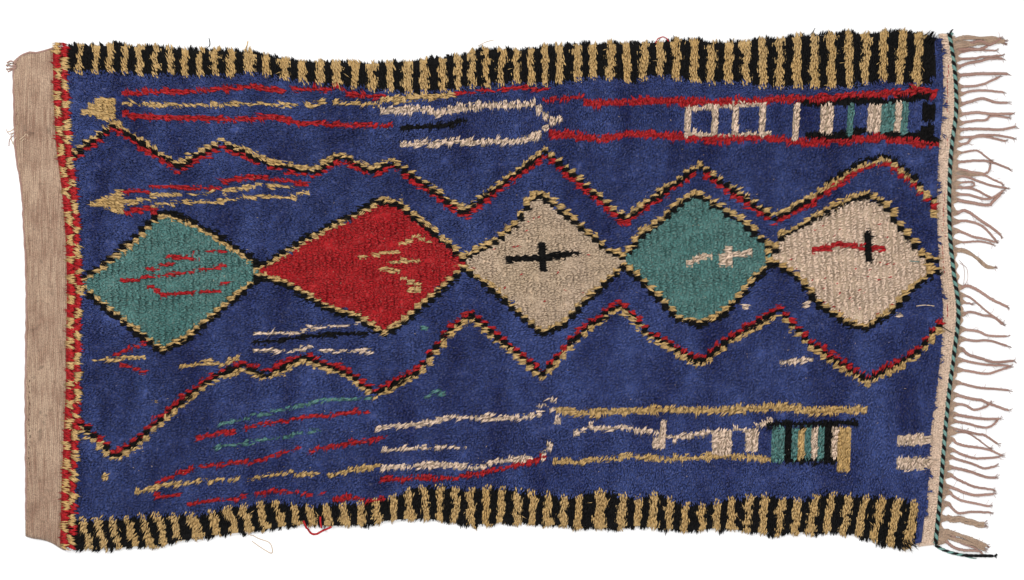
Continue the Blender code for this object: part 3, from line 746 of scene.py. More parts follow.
def new_group(name, inputs):
    """A node group that gives a colour and a height: its tree, inputs, end node and places."""
    tree = bpy.data.node_groups.new(name, "ShaderNodeTree")
    for label, kind, value in inputs:
        socket = tree.interface.new_socket(name=label, in_out="INPUT", socket_type=kind)
        socket.default_value = value
    for label, kind in (("Color", "NodeSocketColor"), ("Height", "NodeSocketFloat")):
        tree.interface.new_socket(name=label, in_out="OUTPUT", socket_type=kind)
    given = tree.nodes.new("NodeGroupInput").outputs
    place = tree.nodes.new("ShaderNodeTexCoord").outputs["Object"]
    return tree, given, tree.nodes.new("NodeGroupOutput"), place


def close_group(tree, result, colour, light, height):
    """Gives out the colour, made lighter or darker, and the height."""
    tint = add_node(tree, "ShaderNodeHueSaturation", {"Color": colour, "Value": light})
    tree.links.new(tint.outputs["Color"], result.inputs["Color"])
    tree.links.new(height, result.inputs["Height"])
    return tree


def wool_group():
    """Colour and height of dyed wool: light and dark locks, faded patches and painted shade at the roots.
    """
    found = bpy.data.node_groups.get("Dyed Wool")
    if found:
        return found
    tree, given, result, place = new_group("Dyed Wool", (
        ("Color", "NodeSocketColor", (0.5, 0.5, 0.5, 1)),
        ("Faded Color", "NodeSocketColor", (0.6, 0.6, 0.6, 1)),
        ("Lock Contrast", "NodeSocketFloat", 0.4),
        ("Patch Contrast", "NodeSocketFloat", 0.3),
        ("Root Shade", "NodeSocketFloat", 0.5),
        ("Fleck Color", "NodeSocketColor", (0.5, 0.5, 0.5, 1)),
        ("Fleck Share", "NodeSocketFloat", 0.3),
    ))
    patches = add_noise(tree, stretch(tree, place, (1.9, 0.75, 1.0)), 5.0, 4.0, 0.6)
    fade = remap(tree, patches, 0.32, 0.68)
    fade = maths(tree, "MULTIPLY", fade, given["Patch Contrast"], use_clamp=True)
    colour = mix_colours(tree, fade, given["Color"], given["Faded Color"])
    flecks = remap(tree, add_noise(tree, place, 240.0, 2.0), 0.5, 0.75)
    flecks = maths(tree, "MULTIPLY", flecks, given["Fleck Share"], use_clamp=True)
    colour = mix_colours(tree, flecks, colour, given["Fleck Color"])
    tone = maths(tree, "SUBTRACT", read_values(tree, "tone"), 0.5)
    light = maths(tree, "MULTIPLY_ADD", tone, given["Lock Contrast"], 1.0)
    # Painted shade: the lower a point lies in its lock, the darker it is, down to the root shade at the
    # root
    roots = remap(tree, read_values(tree, "depth"), 0.0, 0.8, given["Root Shade"])
    light = maths(tree, "MULTIPLY", light, roots)
    fibres = add_noise(tree, place, 420.0, 2.0)
    light = maths(tree, "MULTIPLY", light, remap(tree, fibres, 0.3, 0.7, 0.85, 1.15))
    return close_group(tree, result, colour, light, fibres)


def weave_group():
    """Colour and height of plain weave: weft ribs across, warps along, soiled patches, painted shade in
    grooves.
    """
    found = bpy.data.node_groups.get("Plain Weave")
    if found:
        return found
    tree, given, result, place = new_group("Plain Weave", (
        ("Color", "NodeSocketColor", (0.5, 0.4, 0.3, 1)),
        ("Dark Color", "NodeSocketColor", (0.3, 0.2, 0.15, 1)),
        ("Rib Scale", "NodeSocketFloat", 63.0),
        ("Patch Contrast", "NodeSocketFloat", 0.5),
    ))
    ribs = add_wave(tree, place, "X", given["Rib Scale"], 3.6, 3.0, 0.45)
    warps = add_wave(tree, place, "Y", 130.0, 2.5, 2.0)
    height = maths(tree, "MULTIPLY", ribs, warps)
    streaks = add_noise(tree, stretch(tree, place, (6.0, 0.5, 1.0)), 30.0, 4.0)
    soil = maths(tree, "ADD", add_noise(tree, place, 9.0, 6.0, 0.65), streaks)
    soil = remap(tree, soil, 0.85, 1.25)
    soil = maths(tree, "MULTIPLY", soil, given["Patch Contrast"], use_clamp=True)
    colour = mix_colours(tree, soil, given["Color"], given["Dark Color"])
    grit = remap(tree, add_noise(tree, place, 330.0, 3.0, 0.7), 0.3, 0.7, 0.58, 1.38)
    stains = remap(tree, add_noise(tree, place, 55.0, 2.0, 0.4), 0.66, 0.74, 1.0, 0.7)
    # Painted shade: the low places between ribs and warps are darker
    painted_groove_shade = remap(tree, height, 0.0, 0.5, 0.6)
    light = maths(tree, "MULTIPLY", painted_groove_shade, maths(tree, "MULTIPLY", stains, grit))
    return close_group(tree, result, colour, light, height)


def finish_material(name, group, values, sheen, bump):
    """A dull material whose colour and bump come from a node group."""
    material = bpy.data.materials.get(name)
    if material:
        return material
    material = bpy.data.materials.new(name)
    material.use_nodes = True
    tree = material.node_tree
    shader = tree.nodes["Principled BSDF"]
    shader.inputs["Roughness"].default_value = 0.95
    shader.inputs["Sheen Weight"].default_value = sheen
    shader.inputs["Sheen Roughness"].default_value = 0.6
    shader.inputs["Specular IOR Level"].default_value = 0.2
    look = add_node(tree, "ShaderNodeGroup", node_tree=group)
    for key, value in values.items():
        look.inputs[key].default_value = (*value, 1) if hasattr(value, "__len__") else value
    bumps = {"Strength": bump, "Distance": 0.001, "Height": look.outputs["Height"]}
    relief = add_node(tree, "ShaderNodeBump", bumps)
    tree.links.new(look.outputs["Color"], shader.inputs["Base Color"])
    tree.links.new(relief.outputs["Normal"], shader.inputs["Normal"])
    return material


def wool(kind):
    """The material of a wool by its name in the colour settings."""
    colours = bpy.context.scene.rug_colours
    lock_contrast, patch_contrast, root_shade, fleck_share = WOOL_LOOKS[kind]
    values = {
        "Color": getattr(colours, kind),
        "Faded Color": getattr(colours, f"{kind}_faded"),
        "Lock Contrast": lock_contrast,
        "Patch Contrast": patch_contrast,
        "Root Shade": root_shade,
        "Fleck Color": colours.fleck,
        "Fleck Share": fleck_share,
    }
    return finish_material(f"{kind} wool", wool_group(), values, sheen=0.0, bump=0.35)


def weave(name, rib_scale, contrast):
    """The material of a plain weave."""
    colours = bpy.context.scene.rug_colours
    values = {
        "Color": colours.weft,
        "Dark Color": colours.weft_faded,
        "Rib Scale": rib_scale,
        "Patch Contrast": contrast,
    }
    return finish_material(name, weave_group(), values, sheen=0.15, bump=0.6)


def place_between(left, right, share_along, share_across, inset=0.0):
    """Places at shares of the way between two lines across the rug and its two long edges."""
    y = (share_across - 0.5) * FIRST_WIDTH
    for _ in range(PLACING_ROUNDS):
        x = left(y) + (right(y) - left(y)) * share_along
        y = near_edge(x) + inset + (far_edge(x) - near_edge(x) - 2 * inset) * share_across
    return x, y


def ladder(points):
    """Chart numbers as two arrays, along and across."""
    pairs = np.array(points, float).reshape(-1, 2)
    return pairs[:, 0], pairs[:, 1]


def line_slope(x, line, reach):
    """How steeply a line runs down the chart, measured over a reach to both sides."""
    return (np.interp(x + reach, *line) - np.interp(x - reach, *line)) / (2 * reach)


def paint_line(colours, slopes, x, y, colour, thickness, points, wobble, shift=0.0):
    """Colours the knots of a line, and notes how steeply it runs down the chart there."""
    line = ladder(points)
    middle = np.interp(x, *line) + shift
    slope = line_slope(x, line, 4)
    half = 0.85 * thickness / 2 + 1.4 * np.abs(slope)
    inside = (x > line[0][0] - LINE_END_REACH) & (x < line[0][-1] + LINE_END_REACH)
    inside &= np.abs(y - middle + wobble) < half
    colours[inside] = colour
    slopes[inside] = slope[inside]


def paint_diamond(colours, plain, slopes, x, y, wobble, diamond):
    """Colours the knots of a diamond and of its two outlines."""
    colour, far_points, near_points, gold_outside = diamond
    far, near = ladder(far_points), ladder(near_points)
    across = far[0]
    top = across[np.argmin(far[1])]
    sides = (x > across[0] - 7) & (x < across[-1] + 7)
    upper, lower = np.interp(x, *far), np.interp(x, *near)
    far_swap = np.where(x < top, "left" in gold_outside, "right" in gold_outside)
    near_swap = np.zeros(x.shape, bool)
    for line, beyond, swap in ((far, upper - y, far_swap), (near, y - lower, near_swap)):
        slope = line_slope(x, line, 5)
        reach = (beyond + wobble) / np.clip(0.78 * np.hypot(1, slope), 0.85, 1.5)
        for low, high, is_gold in OUTLINE_BANDS:
            band = sides & (reach > low) & (reach <= high) & (beyond >= 0)
            colours[band] = np.where(swap == is_gold, BLACK, GOLD)[band]
            slopes[band] = slope[band]
    filled = (x > across[0]) & (x < across[-1]) & (y > upper) & (y < lower)
    colours[filled] = colour
    plain[filled] = colour


def knot_colours(x, y):
    """Colour of each knot of the field, whether it is of a motif's line, and that line's slope."""
    rng = np.random.default_rng(11)
    wobble = rng.normal(0, 0.6, x.shape)
    colours = np.full(x.shape, BLUE)
    plain = np.full(x.shape, BLUE)
    slopes = np.zeros(x.shape)
    for diamond in DIAMONDS:
        paint_diamond(colours, plain, slopes, x, y, wobble, diamond)
    for strand_colours, points in ZIGZAGS:
        for k, colour in enumerate(strand_colours):
            shift = (k - 1) * ZIGZAG_STEP
            paint_line(colours, slopes, x, y, colour, ZIGZAG_THICKNESS[colour], points, wobble, shift)
    for colour, thickness, points in LINES:
        paint_line(colours, slopes, x, y, colour, thickness, points, wobble)
    for colour, left, right, top, bottom in BLOCKS:
        inside = (x > left - BLOCK_REACH) & (x < right + BLOCK_REACH)
        colours[inside & (y + wobble > top) & (y + wobble < bottom)] = colour
    for colour, far, near in FILLS:
        along, across = ladder(far)
        inside = (x > along[0] - 1) & (x < along[-1] + 1)
        inside &= (y > np.interp(x, along, across)) & (y < np.interp(x, *ladder(near)))
        colours[inside] = colour
    return colours, colours != plain, slopes


def border_inner(x):
    """Inner edges of the two striped borders on the chart, far and near."""
    places, far, near = zip(*BORDER_EDGES)
    return np.interp(x, places, far), np.interp(x, places, near)


def share_out(skeins, colour, root, middle, tip, half, tone):
    """Adds each lock to the skein of its colour."""
    for key in np.unique(colour):
        pick = colour == key
        skein = skeins.setdefault(int(key), Skein())
        skein.spindles(root[pick], middle[pick], tip[pick], half[pick], tone[pick])


def lay_tufts(skeins, colour, x, y, angle, length, height, half, cell, tone, locks, rng):
    """Adds tufts that fill cells round x and y: fine locks that draw together at the tip."""
    count = len(x)
    colour = np.broadcast_to(colour, count)
    for _ in range(locks):
        turn = angle + rng.normal(0, 0.12, count)
        ahead = np.stack((np.cos(turn), np.sin(turn)), 1)
        longer = np.where(rng.random(count) < 0.05, 1.45, 1.0)
        run = ahead * (length * longer * rng.uniform(0.75, 1.2, count))[:, None]
        off = rng.uniform(-1, 1, (count, 2)) * cell
        place = np.stack((x, y), 1) + ahead * rng.uniform(-0.002, 0.002, count)[:, None]
        place = place - run * 0.12
        top = height + rng.uniform(-0.0012, 0.0012, count)
        root = np.column_stack((place - run * 0.38 + off, top * 0.5))
        middle = np.column_stack((place + off, top))
        tip = np.column_stack((place + run * 0.62 + off * 0.5, top * 0.84))
        shade = np.clip(tone + rng.normal(0, 0.10, count), 0, 1)
        share_out(skeins, colour, root, middle, tip, half * rng.uniform(0.8, 1.2, count), shade)


def lay_fine_locks(skeins, colour, x, y, angle, length, height, half, tone):
    """Adds fine locks whose middles lie at x and y."""
    count = len(x)
    colour, height, tone = (np.broadcast_to(given, count) for given in (colour, height, tone))
    low = np.minimum(0.007, height * 0.7)
    run = np.stack((np.cos(angle), np.sin(angle)), 1) * length[:, None]
    place = np.stack((x, y), 1)
    root = np.column_stack((place - run * 0.5, height - low))
    middle = np.column_stack((place, height))
    tip = np.column_stack((place + run * 0.5, height - 0.0022))
    share_out(skeins, colour, root, middle, tip, half, tone)


def lock_tilt(cx, cy):
    """How far the pile leans to the far side from lying straight towards the plain end."""
    places, *rows = PILE_LEANS
    levels = np.array([np.interp(cx, places[1:], row[1:]) for row in rows])
    down = np.interp(cy, [row[0] for row in rows], range(len(rows)))
    step = np.clip(down.astype(int), 0, len(rows) - 2)
    at = np.arange(len(step))
    return np.radians(levels[step, at] * (1 - down + step) + levels[step + 1, at] * (down - step))


def field_lean(cx, cy, motif, slopes):
    """How the field's locks lean: along the lines of motifs, and outwards beside the borders."""
    far_inner, near_inner = border_inner(cx)
    by_far = np.clip(1 - (cy - far_inner) / BORDER_BLEND, 0, 1)
    by_near = np.clip(1 - (near_inner - cy) / BORDER_BLEND, 0, 1)
    lean = lock_tilt(cx, cy)
    turn = np.arctan(slopes) * np.clip(np.cos(lean), 0, 1)
    lean = lean + np.where(motif, np.where(turn > 0, 0.5, 0.2) * turn, 0.0)
    return lean * (1 - by_far - by_near) + 1.3 * (by_far - by_near)


def field_tone(cx, cy, colours, rng):
    """How light each knot is: uneven dye, a light edge, darker blue patches and painted shade in a worn
    crease.
    """
    is_blue = colours == BLUE
    tone = 0.5 + rng.normal(0, 0.10, len(cx))
    tone += 0.22 * ((cx > 83) & (cx < 97) & is_blue)
    tone += np.interp(cx, (80, 320, 560, 900), (-0.04, -0.03, 0.02, 0.05))
    darker = 0.22 * np.interp(cy, (215, 300), (1, 0))
    darker = darker + 0.16 * np.interp(cx, (420, 480), (1, 0)) * (cy < 375)
    corner = 0.34 * np.interp(cx, (165, 225), (1, 0)) * np.interp(cy, (300, 350), (0, 1))
    tone -= np.maximum(darker, corner) * is_blue
    # Painted shade: a dark line where the pile parts in a crease across the red diamond
    tone -= 0.3 * ((np.abs(cx - 353) < 2.4) & (cy > 222) & (cy < 268))
    return tone


def wool_part(colour, cx, pale):
    """Splits the blue locks in three parts along the rug, and marks the paler ivory ones."""
    colour = np.where((colour == IVORY) & pale, PALE, colour)
    return np.where(colour == BLUE, BLUE_PARTS + np.digitize(cx, BLUE_SPLITS), colour)


def field_locks(groups, sizes):
    """Fine locks of the plain areas, and thicker tufts where a motif's lines run."""
    rng = np.random.default_rng(21)
    share_along = ((np.arange(KNOT_ROWS) + 0.5) / KNOT_ROWS)[:, None]
    share_across = ((np.arange(ROW_KNOTS) + 0.5) / ROW_KNOTS)[None]
    x, y = place_between(pile_start, band_start, share_along, share_across)
    cx, cy = chart_x(x), chart_y(y)
    colours, motif, slopes = knot_colours(cx, cy)
    far_inner, near_inner = border_inner(cx)
    rows = np.broadcast_to(np.arange(KNOT_ROWS)[:, None], x.shape)
    keep = ~(((cy < far_inner) | (cy > near_inner)) & (cx < BORDER_END))
    keep &= rows >= CHECK_ROWS
    keep &= (y < far_edge(x) - 0.006) & (y > near_edge(x) + 0.006)
    parts = (x, y, cx, cy, colours, motif, slopes, rows)
    x, y, cx, cy, colours, motif, slopes, rows = (part[keep] for part in parts)
    last = rows == KNOT_ROWS - 1
    lean = field_lean(cx, cy, motif, slopes)
    lean = np.where(last, math.pi + rng.normal(0, 0.45, x.shape), lean)
    x = x + np.where(last, 0.012 * np.clip(soft_noise(x, y, 0.02, 31), 0, 1) ** 2, 0.0)
    lumps = 0.10 * soft_noise(x, y, 0.055, 8) + 0.05 * soft_noise(x, y, 0.02, 18)
    knot_tone = field_tone(cx, cy, colours, rng)
    plain = ~motif
    pale = cx > PALE_FROM
    loose = np.choose(colours, LOOSE_REACH)
    loose = np.where((colours == IVORY) & pale, PALE_LOOSE_REACH, loose)[plain]
    size = int(plain.sum())
    for _ in range(FINE_LOCKS):
        angle = math.pi - lean[plain] + rng.normal(0, 0.38, size)
        length = sizes.fine_length * rng.uniform(0.7, 1.3, size)
        height = sizes.pile_height * (rng.uniform(0.86, 1.0, size) + lumps[plain])
        half = sizes.fine_width / 2 * rng.uniform(0.75, 1.25, size)
        colour = colours[plain]
        stray = (colour == IVORY) & (rng.random(size) < 0.01)
        colour = np.where(stray, RED, wool_part(colour, cx[plain], pale[plain]))
        lay_fine_locks(
            groups, colour, x[plain] + loose * rng.uniform(-1, 1, size),
            y[plain] + 0.0038 * rng.uniform(-1, 1, size), angle, length, height, half,
            np.clip(knot_tone[plain] + rng.normal(0, 0.16, size), 0, 1),
        )
    size = int(motif.sum())
    angle = math.pi - lean[motif] + rng.normal(0, 0.3, size)
    length = sizes.lock_length * rng.uniform(0.7, 1.35, size) * (1 - 0.22 * np.sin(angle) ** 2)
    height = sizes.pile_height * (rng.uniform(0.94, 1.12, size) + lumps[motif])
    half = sizes.lock_width / 2 * rng.uniform(0.75, 1.1, size)
    lay_tufts(
        groups, wool_part(colours[motif], cx[motif], True), x[motif] + 0.0022 * rng.uniform(-1, 1, size),
        y[motif] + rng.normal(0, 0.0012, size), angle, length, height, half,
        (0.0062, 0.0024), np.clip(knot_tone[motif] + rng.normal(0, 0.10, size), 0, 1), TUFT_LOCKS, rng,
    )


def check_locks(groups, sizes):
    """Two columns of red and gold blocks between the plain end and the field."""
    rng = np.random.default_rng(5)
    far, near = far_edge(-1.12), near_edge(-1.12)
    lengths = np.cumsum(rng.uniform(0.020, 0.032, CHECK_BLOCKS))
    starts = far - 0.001 - np.r_[0.0, 0.030, lengths + 0.030]
    for column in (0, 1):
        y = np.arange(far - 0.004, near + 0.004, -CHECK_KNOT_PITCH)
        count = len(y)
        y = y + rng.normal(0, 0.0008, count)
        edges = starts - column * rng.uniform(-0.002, 0.010, len(starts))
        block = np.searchsorted(-edges, -y)
        colour = np.where((block + column) % 2 == 0, RED, GOLD)
        x = pile_start(y) + CHECK_START + CHECK_PITCH * column + rng.normal(0, 0.0022, count)
        lay_tufts(
            groups, colour, x, y, math.pi - 0.22 + rng.normal(0, 0.22, count),
            CHECK_LOCK_LENGTH * rng.uniform(0.8, 1.25, count),
            sizes.pile_height * rng.uniform(1.02, 1.16, count),
            sizes.lock_width / 2 * rng.uniform(0.9, 1.15, count), (0.004, 0.0034),
            np.clip(0.5 + rng.normal(0, 0.14, count), 0, 1), TUFT_LOCKS, rng,
        )


def stray_fibres(groups):
    """Light hairs that lie here and there on the field."""
    rng = np.random.default_rng(91)
    count = STRAY_FIBRES
    x = rng.uniform(-1.06, 1.03, count)
    y = rng.uniform(-0.47, 0.49, count)
    angle = rng.uniform(0, math.tau, count)
    length = rng.uniform(0.003, 0.010, count)
    half = rng.uniform(0.0004, 0.0009, count)
    lay_fine_locks(groups, IVORY, x, y, angle, length, STRAY_FIBRE_HEIGHT, half, 0.7)


def stripe_colours(x, y, is_far):
    """Black or gold at places of a striped border, whose stripes slant, wander and swell."""
    far_inner, near_inner = border_inner(x)
    numbers, places = zip(*(FAR_STRIPES if is_far else NEAR_STRIPES))
    slants = FAR_SLANTS if is_far else NEAR_SLANTS
    deep = far_inner - y if is_far else y - near_inner
    fx, fy = floor_x(x), floor_y(y)
    wander = 1.0 * soft_noise(fx, fy, 0.045, 51)
    wander += 0.9 * soft_noise(fx, fy, 0.019, 53)
    swell = 0.05 * soft_noise(fx, fy, 0.03, 52)
    number = np.interp(x - np.interp(x, *slants) * (deep - 16) + wander, places, numbers)
    share = np.interp(x, (150, 280), (0.30 if is_far else STRIPE_SHARE, STRIPE_SHARE))
    is_black = (np.abs(number - np.round(number)) < share + swell) | (x > STRIPE_ENDS_AT)
    after_last = (number > LAST_NEAR_STRIPE) & (not is_far)
    return np.where(after_last, BLUE, np.where(is_black, BLACK, GOLD))


def side_leans(x, is_far):
    """How the locks of a striped border lean outwards, within it and at its rim, in degrees."""
    if is_far:
        lean = np.interp(x, (70, 300, 500, 700, 860, 930), (62, 72, 84, 88, 95, 108))
        return lean, np.interp(x, (70, 500, 870, 930), (75, 88, 98, 125))
    lean = np.interp(x, (70, 200, 300, 500, 740, 860, 930), (60, 66, 80, 84, 87, 80, 88))
    return lean, np.interp(x, (70, 500, 930), (66, 78, 85))


def border_locks(groups, sizes, is_far, rng):
    """Long shaggy locks of the black and gold stripes along one side."""
    outward = -1 if is_far else 1
    x, row = np.meshgrid(np.arange(70, BORDER_END, SIDE_PITCH), np.arange(-0.4, 32), indexing="ij")
    x = x.ravel() + rng.normal(0, 0.4, x.size)
    place = row.ravel() * SIDE_DEPTH_PITCH + rng.uniform(-1.4, 1.4, x.size)
    inner = border_inner(x)[0 if is_far else 1]
    edge = far_edge if is_far else near_edge
    clump = np.floor(x / 5.5 + 0.4 * np.sin(x)).astype(int)
    turns, tones, reaches = rng.normal(0, (0.11, 0.12, 1.3), (256, 3)).T
    depth = np.abs(chart_y(edge(floor_x(x))) - inner) - 3.6 + reaches[clump]
    keep = (place < depth) & (is_far | (x < 927 - 0.3 * place * (place > 12)))
    x, place, inner, depth, clump = (part[keep] for part in (x, place, inner, depth, clump))
    y = inner + outward * place
    colour = wool_part(stripe_colours(x, y, is_far), x, False)
    bunch = (clump * 31 + np.floor(place / 7 + (clump % 3) * 0.3).astype(int) * 7) % 256
    count = len(x)
    rim = np.clip(1 - (depth - place) / 9.0, 0, 1)
    lean, rim_lean = side_leans(x, is_far)
    lean = np.radians(lean * (1 - rim) + rim_lean * rim)
    angle = math.pi + outward * (lean + turns[bunch])
    length = sizes.side_lock_length * (1 - 0.1 * rim)
    height = sizes.pile_height * rng.uniform(0.88, 1.0, count) * (1 - 0.25 * rim)
    height = np.where(colour == GOLD, height, height - GOLD_RISE)
    half = sizes.lock_width / 2 * rng.uniform(1.0, 1.3, count)
    tone = np.clip(0.5 + tones[bunch], 0, 1)
    lay_tufts(groups, colour, floor_x(x), floor_y(y), angle, length, height, half, 0.0, tone, 1, rng)
    low = np.tile(np.flatnonzero(depth - place < SIDE_RIM), 2)
    spare = len(low)
    lay_tufts(
        groups, colour[low], floor_x(x[low]) + rng.normal(0, 0.0035, spare),
        floor_y(y[low] + rng.uniform(0.2, 1.6, spare) * outward), angle[low] + rng.normal(0, 0.2, spare),
        length[low] * rng.uniform(0.8, 1.1, spare), height[low] * rng.uniform(0.4, 0.7, spare),
        half[low] * 1.3, 0.0, 0.45, 1, rng,
    )
    fan_x = floor_x(rng.uniform(*((925, 934) if is_far else (899, 914)), CORNER_LOCKS))
    fan_y = edge(fan_x) + outward * rng.uniform(0.004, 0.022, CORNER_LOCKS)
    fan_turn = math.pi + outward * np.radians(rng.normal(128, 12, CORNER_LOCKS))
    lay_tufts(groups, BLACK, fan_x, fan_y, fan_turn, 0.027, 0.018, 0.0015, 0.0, 0.5, 1, rng)
    pick = rng.choice(count, STRAY_SIDE_LOCKS)
    turn = angle[pick] + rng.normal(0, 0.8, STRAY_SIDE_LOCKS)
    lay_tufts(
        groups, GOLD, floor_x(x[pick]), floor_y(y[pick]), turn, 0.022, 0.019, 0.0009, 0.0, 0.8, 1, rng
    )


def length_property(name, description, default):
    return FloatProperty(name=name, description=description, default=default, unit="LENGTH")


class RugSizes(PropertyGroup):
    """Sizes of the wool"""

    pile_height: length_property("Pile Height", "Height of the knotted pile", 0.0160)
    fine_length: length_property("Fine Lock Length", "Length of a lock of the plain areas", 0.0155)
    fine_width: length_property("Fine Lock Width", "Width of a lock of the plain areas", 0.0040)
    lock_length: length_property("Tuft Length", "Length of a tuft of a motif", 0.0235)
    side_lock_length: length_property("Side Lock Length", "Length of a lock in the striped sides", 0.0195)
    lock_width: length_property("Lock Width", "Width of a tuft's lock", 0.0037)
    weft_pitch: length_property("Weft Pitch", "From one weft rib of the plain end to the next", 0.0050)


def colour_property(label, code):
    return FloatVectorProperty(
        name=label, description=f"{label} of the rug", default=linear(code), subtype="COLOR",
        min=0.0, max=1.0,
    )


class RugColours(PropertyGroup):
    """Colours of the wools"""

    blue: colour_property("Blue", "1c2556")
    blue_faded: colour_property("Faded Blue", "42528a")
    gold: colour_property("Gold", "be9b63")
    gold_faded: colour_property("Faded Gold", "c9ad7e")
    black: colour_property("Black", "0a0909")
    black_faded: colour_property("Faded Black", "121012")
    red: colour_property("Red", "a5161e")
    red_faded: colour_property("Faded Red", "b0282a")
    teal: colour_property("Teal", "4b7975")
    teal_faded: colour_property("Faded Teal", "638984")
    ivory: colour_property("Ivory", "bda78d")
    ivory_faded: colour_property("Faded Ivory", "c5ae9c")
    pale: colour_property("Pale Ivory", "d4bba5")
    pale_faded: colour_property("Faded Pale Ivory", "dcc6b4")
    fleck: colour_property("Fleck", "8c857c")
    weft: colour_property("Plain Weft", "ba9e86")
    weft_faded: colour_property("Dark Weft", "8a6855")
    cord: colour_property("Cord Teal", "5b827a")
    cord_faded: colour_property("Faded Cord Teal", "74918a")
    fringe: colour_property("Fringe", "957468")
    fringe_faded: colour_property("Faded Fringe", "ab9186")


def deselect_all():
    bpy.ops.object.select_all(action="DESELECT")


def woven_grid(name, columns, rows, left, right, height, thickness, materials, inset=0.0):
    """A closed woven strip between two lines across the rug, given by functions of y."""
    deselect_all()
    bpy.ops.mesh.primitive_grid_add(x_subdivisions=columns, y_subdivisions=rows, size=1.0)
    piece = bpy.context.object
    piece.name = piece.data.name = name
    places = np.empty(len(piece.data.vertices) * 3)
    piece.data.vertices.foreach_get("co", places)
    places = places.reshape(-1, 3)
    x, y = place_between(left, right, places[:, 0] + 0.5, places[:, 1] + 0.5, inset)
    corner = np.clip(1 - (x - weft_edge(y)) / 0.026, 0, 1) ** 2
    y = y - 0.012 * corner * np.clip((y - 0.45) / 0.12, 0, 1)
    y = y + 0.005 * corner * np.clip((-y - 0.45) / 0.12, 0, 1)
    places[:, 0] = x - RUG_MIDDLE_X
    places[:, 1] = y - RUG_MIDDLE_Y
    places[:, 2] = height(x, y)
    piece.data.vertices.foreach_set("co", places.ravel())
    wall = piece.modifiers.new("Thickness", "SOLIDIFY")
    wall.thickness = thickness
    wall.offset = -1.0
    bpy.ops.object.modifier_apply(modifier=wall.name)
    bpy.ops.object.shade_smooth()
    for material in materials:
        piece.data.materials.append(material)
    return piece


def give_wool_look(piece, depth, seed):
    """Tones and depths for a woollen surface, as the locks on it have; the depth sets its painted shade.
    """
    rng = np.random.default_rng(seed)
    count = len(piece.data.vertices)
    add_values(piece.data, "tone", np.clip(rng.normal(0.5, 0.12, count), 0, 1))
    add_values(piece.data, "depth", np.full(count, depth))


def carry(piece, slot, *nodes):
    """The piece rides on the rug and stands for CAD nodes, which it hides; the slot it is given is not
    used.
    """
    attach(piece, "root")
    if nodes:
        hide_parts(*nodes)
    return piece


class RUG_OT_ground(Operator):
    """Adds the woven cloth, dyed with the pattern between its knots and darkened by painted shade, and
    the band's ground
    """

    bl_idname = "rug.ground"
    bl_label = "Woven Cloth"

    def execute(self, context):
        piece = woven_grid(
            "rug_cloth", KNOT_ROWS, CLOTH_ROWS, lambda y: pile_start(y) - 0.001, band_start,
            lambda x, y: CLOTH_TOP + 0.0005 * soft_noise(x, y, 0.06, 2), CLOTH_THICKNESS,
            [wool(kind) for kind in KNOT_NAMES], inset=CLOTH_INSET,
        )
        # Painted shade: the cloth lies below the lock tops and is darkened as the locks' roots are
        give_wool_look(piece, 0.4, 12)
        centres = np.empty(len(piece.data.polygons) * 3)
        piece.data.polygons.foreach_get("center", centres)
        x = centres[0::3] + RUG_MIDDLE_X
        y = centres[1::3] + RUG_MIDDLE_Y
        cx, cy = chart_x(x), chart_y(y)
        colours = knot_colours(cx, cy)[0]
        far_inner, near_inner = border_inner(cx)
        for zone, is_far in ((cy < far_inner, True), (cy > near_inner, False)):
            zone = zone & (cx < BORDER_END)
            colours = np.where(zone, stripe_colours(cx, cy, is_far), colours)
        colours = np.where(x < pile_start(y) + 0.033, RED, colours)
        piece.data.polygons.foreach_set("material_index", colours.astype(np.int32))
        carry(piece, "blue_pile", "rug_body")
        band = woven_grid(
            "band_ground", 6, 200, lambda y: band_start(y) - 0.004, lambda y: cord_line(y) - 0.003,
            lambda x, y: BAND_TOP + 0.0003 * soft_noise(x, y, 0.02, 22), BAND_THICKNESS,
            [wool("pale")],
        )
        # Painted shade under the band's locks, as at their roots
        give_wool_look(band, 0.5, 13)
        carry(band, "ivory_pile", "rug_body")
        return {"FINISHED"}


class RUG_OT_weft_end(Operator):
    """Adds the plain woven end, with a rib for each weft"""

    bl_idname = "rug.weft_end"
    bl_label = "Plain Woven End"

    def execute(self, context):
        pitch = context.scene.rug_sizes.weft_pitch

        def height(x, y):
            inward = x - weft_edge(y) + 0.0022 * soft_noise(x, y, 0.07, 4)
            ribs = 0.0009 * np.cos(inward / pitch * math.tau) * np.clip(1.3 - inward / 0.08, 0.25, 1)
            swell = 0.0006 * soft_noise(x, y, 0.07, 6)
            pucker = 0.002 * np.exp(-(((x + 1.21) / 0.012) ** 2) - (((y - 0.375) / 0.03) ** 2))
            return WEFT_TOP + ribs + swell + pucker

        piece = woven_grid(
            "weft_end", 104, 112, weft_edge, lambda y: pile_start(y) + 0.012, height,
            WEFT_THICKNESS, [weave(*PLAIN_WEAVE)],
        )
        carry(piece, "weft_wool", "rug_body")
        y = np.linspace(0.535, -0.575, 190)
        x = weft_edge(y) + 0.0012 + 0.0009 * soft_noise(y, y * 0, 0.03, 14)
        down = np.column_stack((x, y))
        top_x = np.linspace(-1.145, -1.195, 9)
        top = np.column_stack((top_x, far_edge(top_x) - 0.002))
        corner = even_path(smooth_path(from_chart(HEM_CORNER), 4), 0.006)
        hem = Skein()
        flat = np.vstack((top[:-1], corner[:-1], down))
        hem.yarn(at_height(flat, HEM_HEIGHT), HEM_HALF_WIDTH, 6, tone=0.4)
        carry(hem.make("weft_hem", wool("fringe")), "weft_wool", "rug_body")
        return {"FINISHED"}


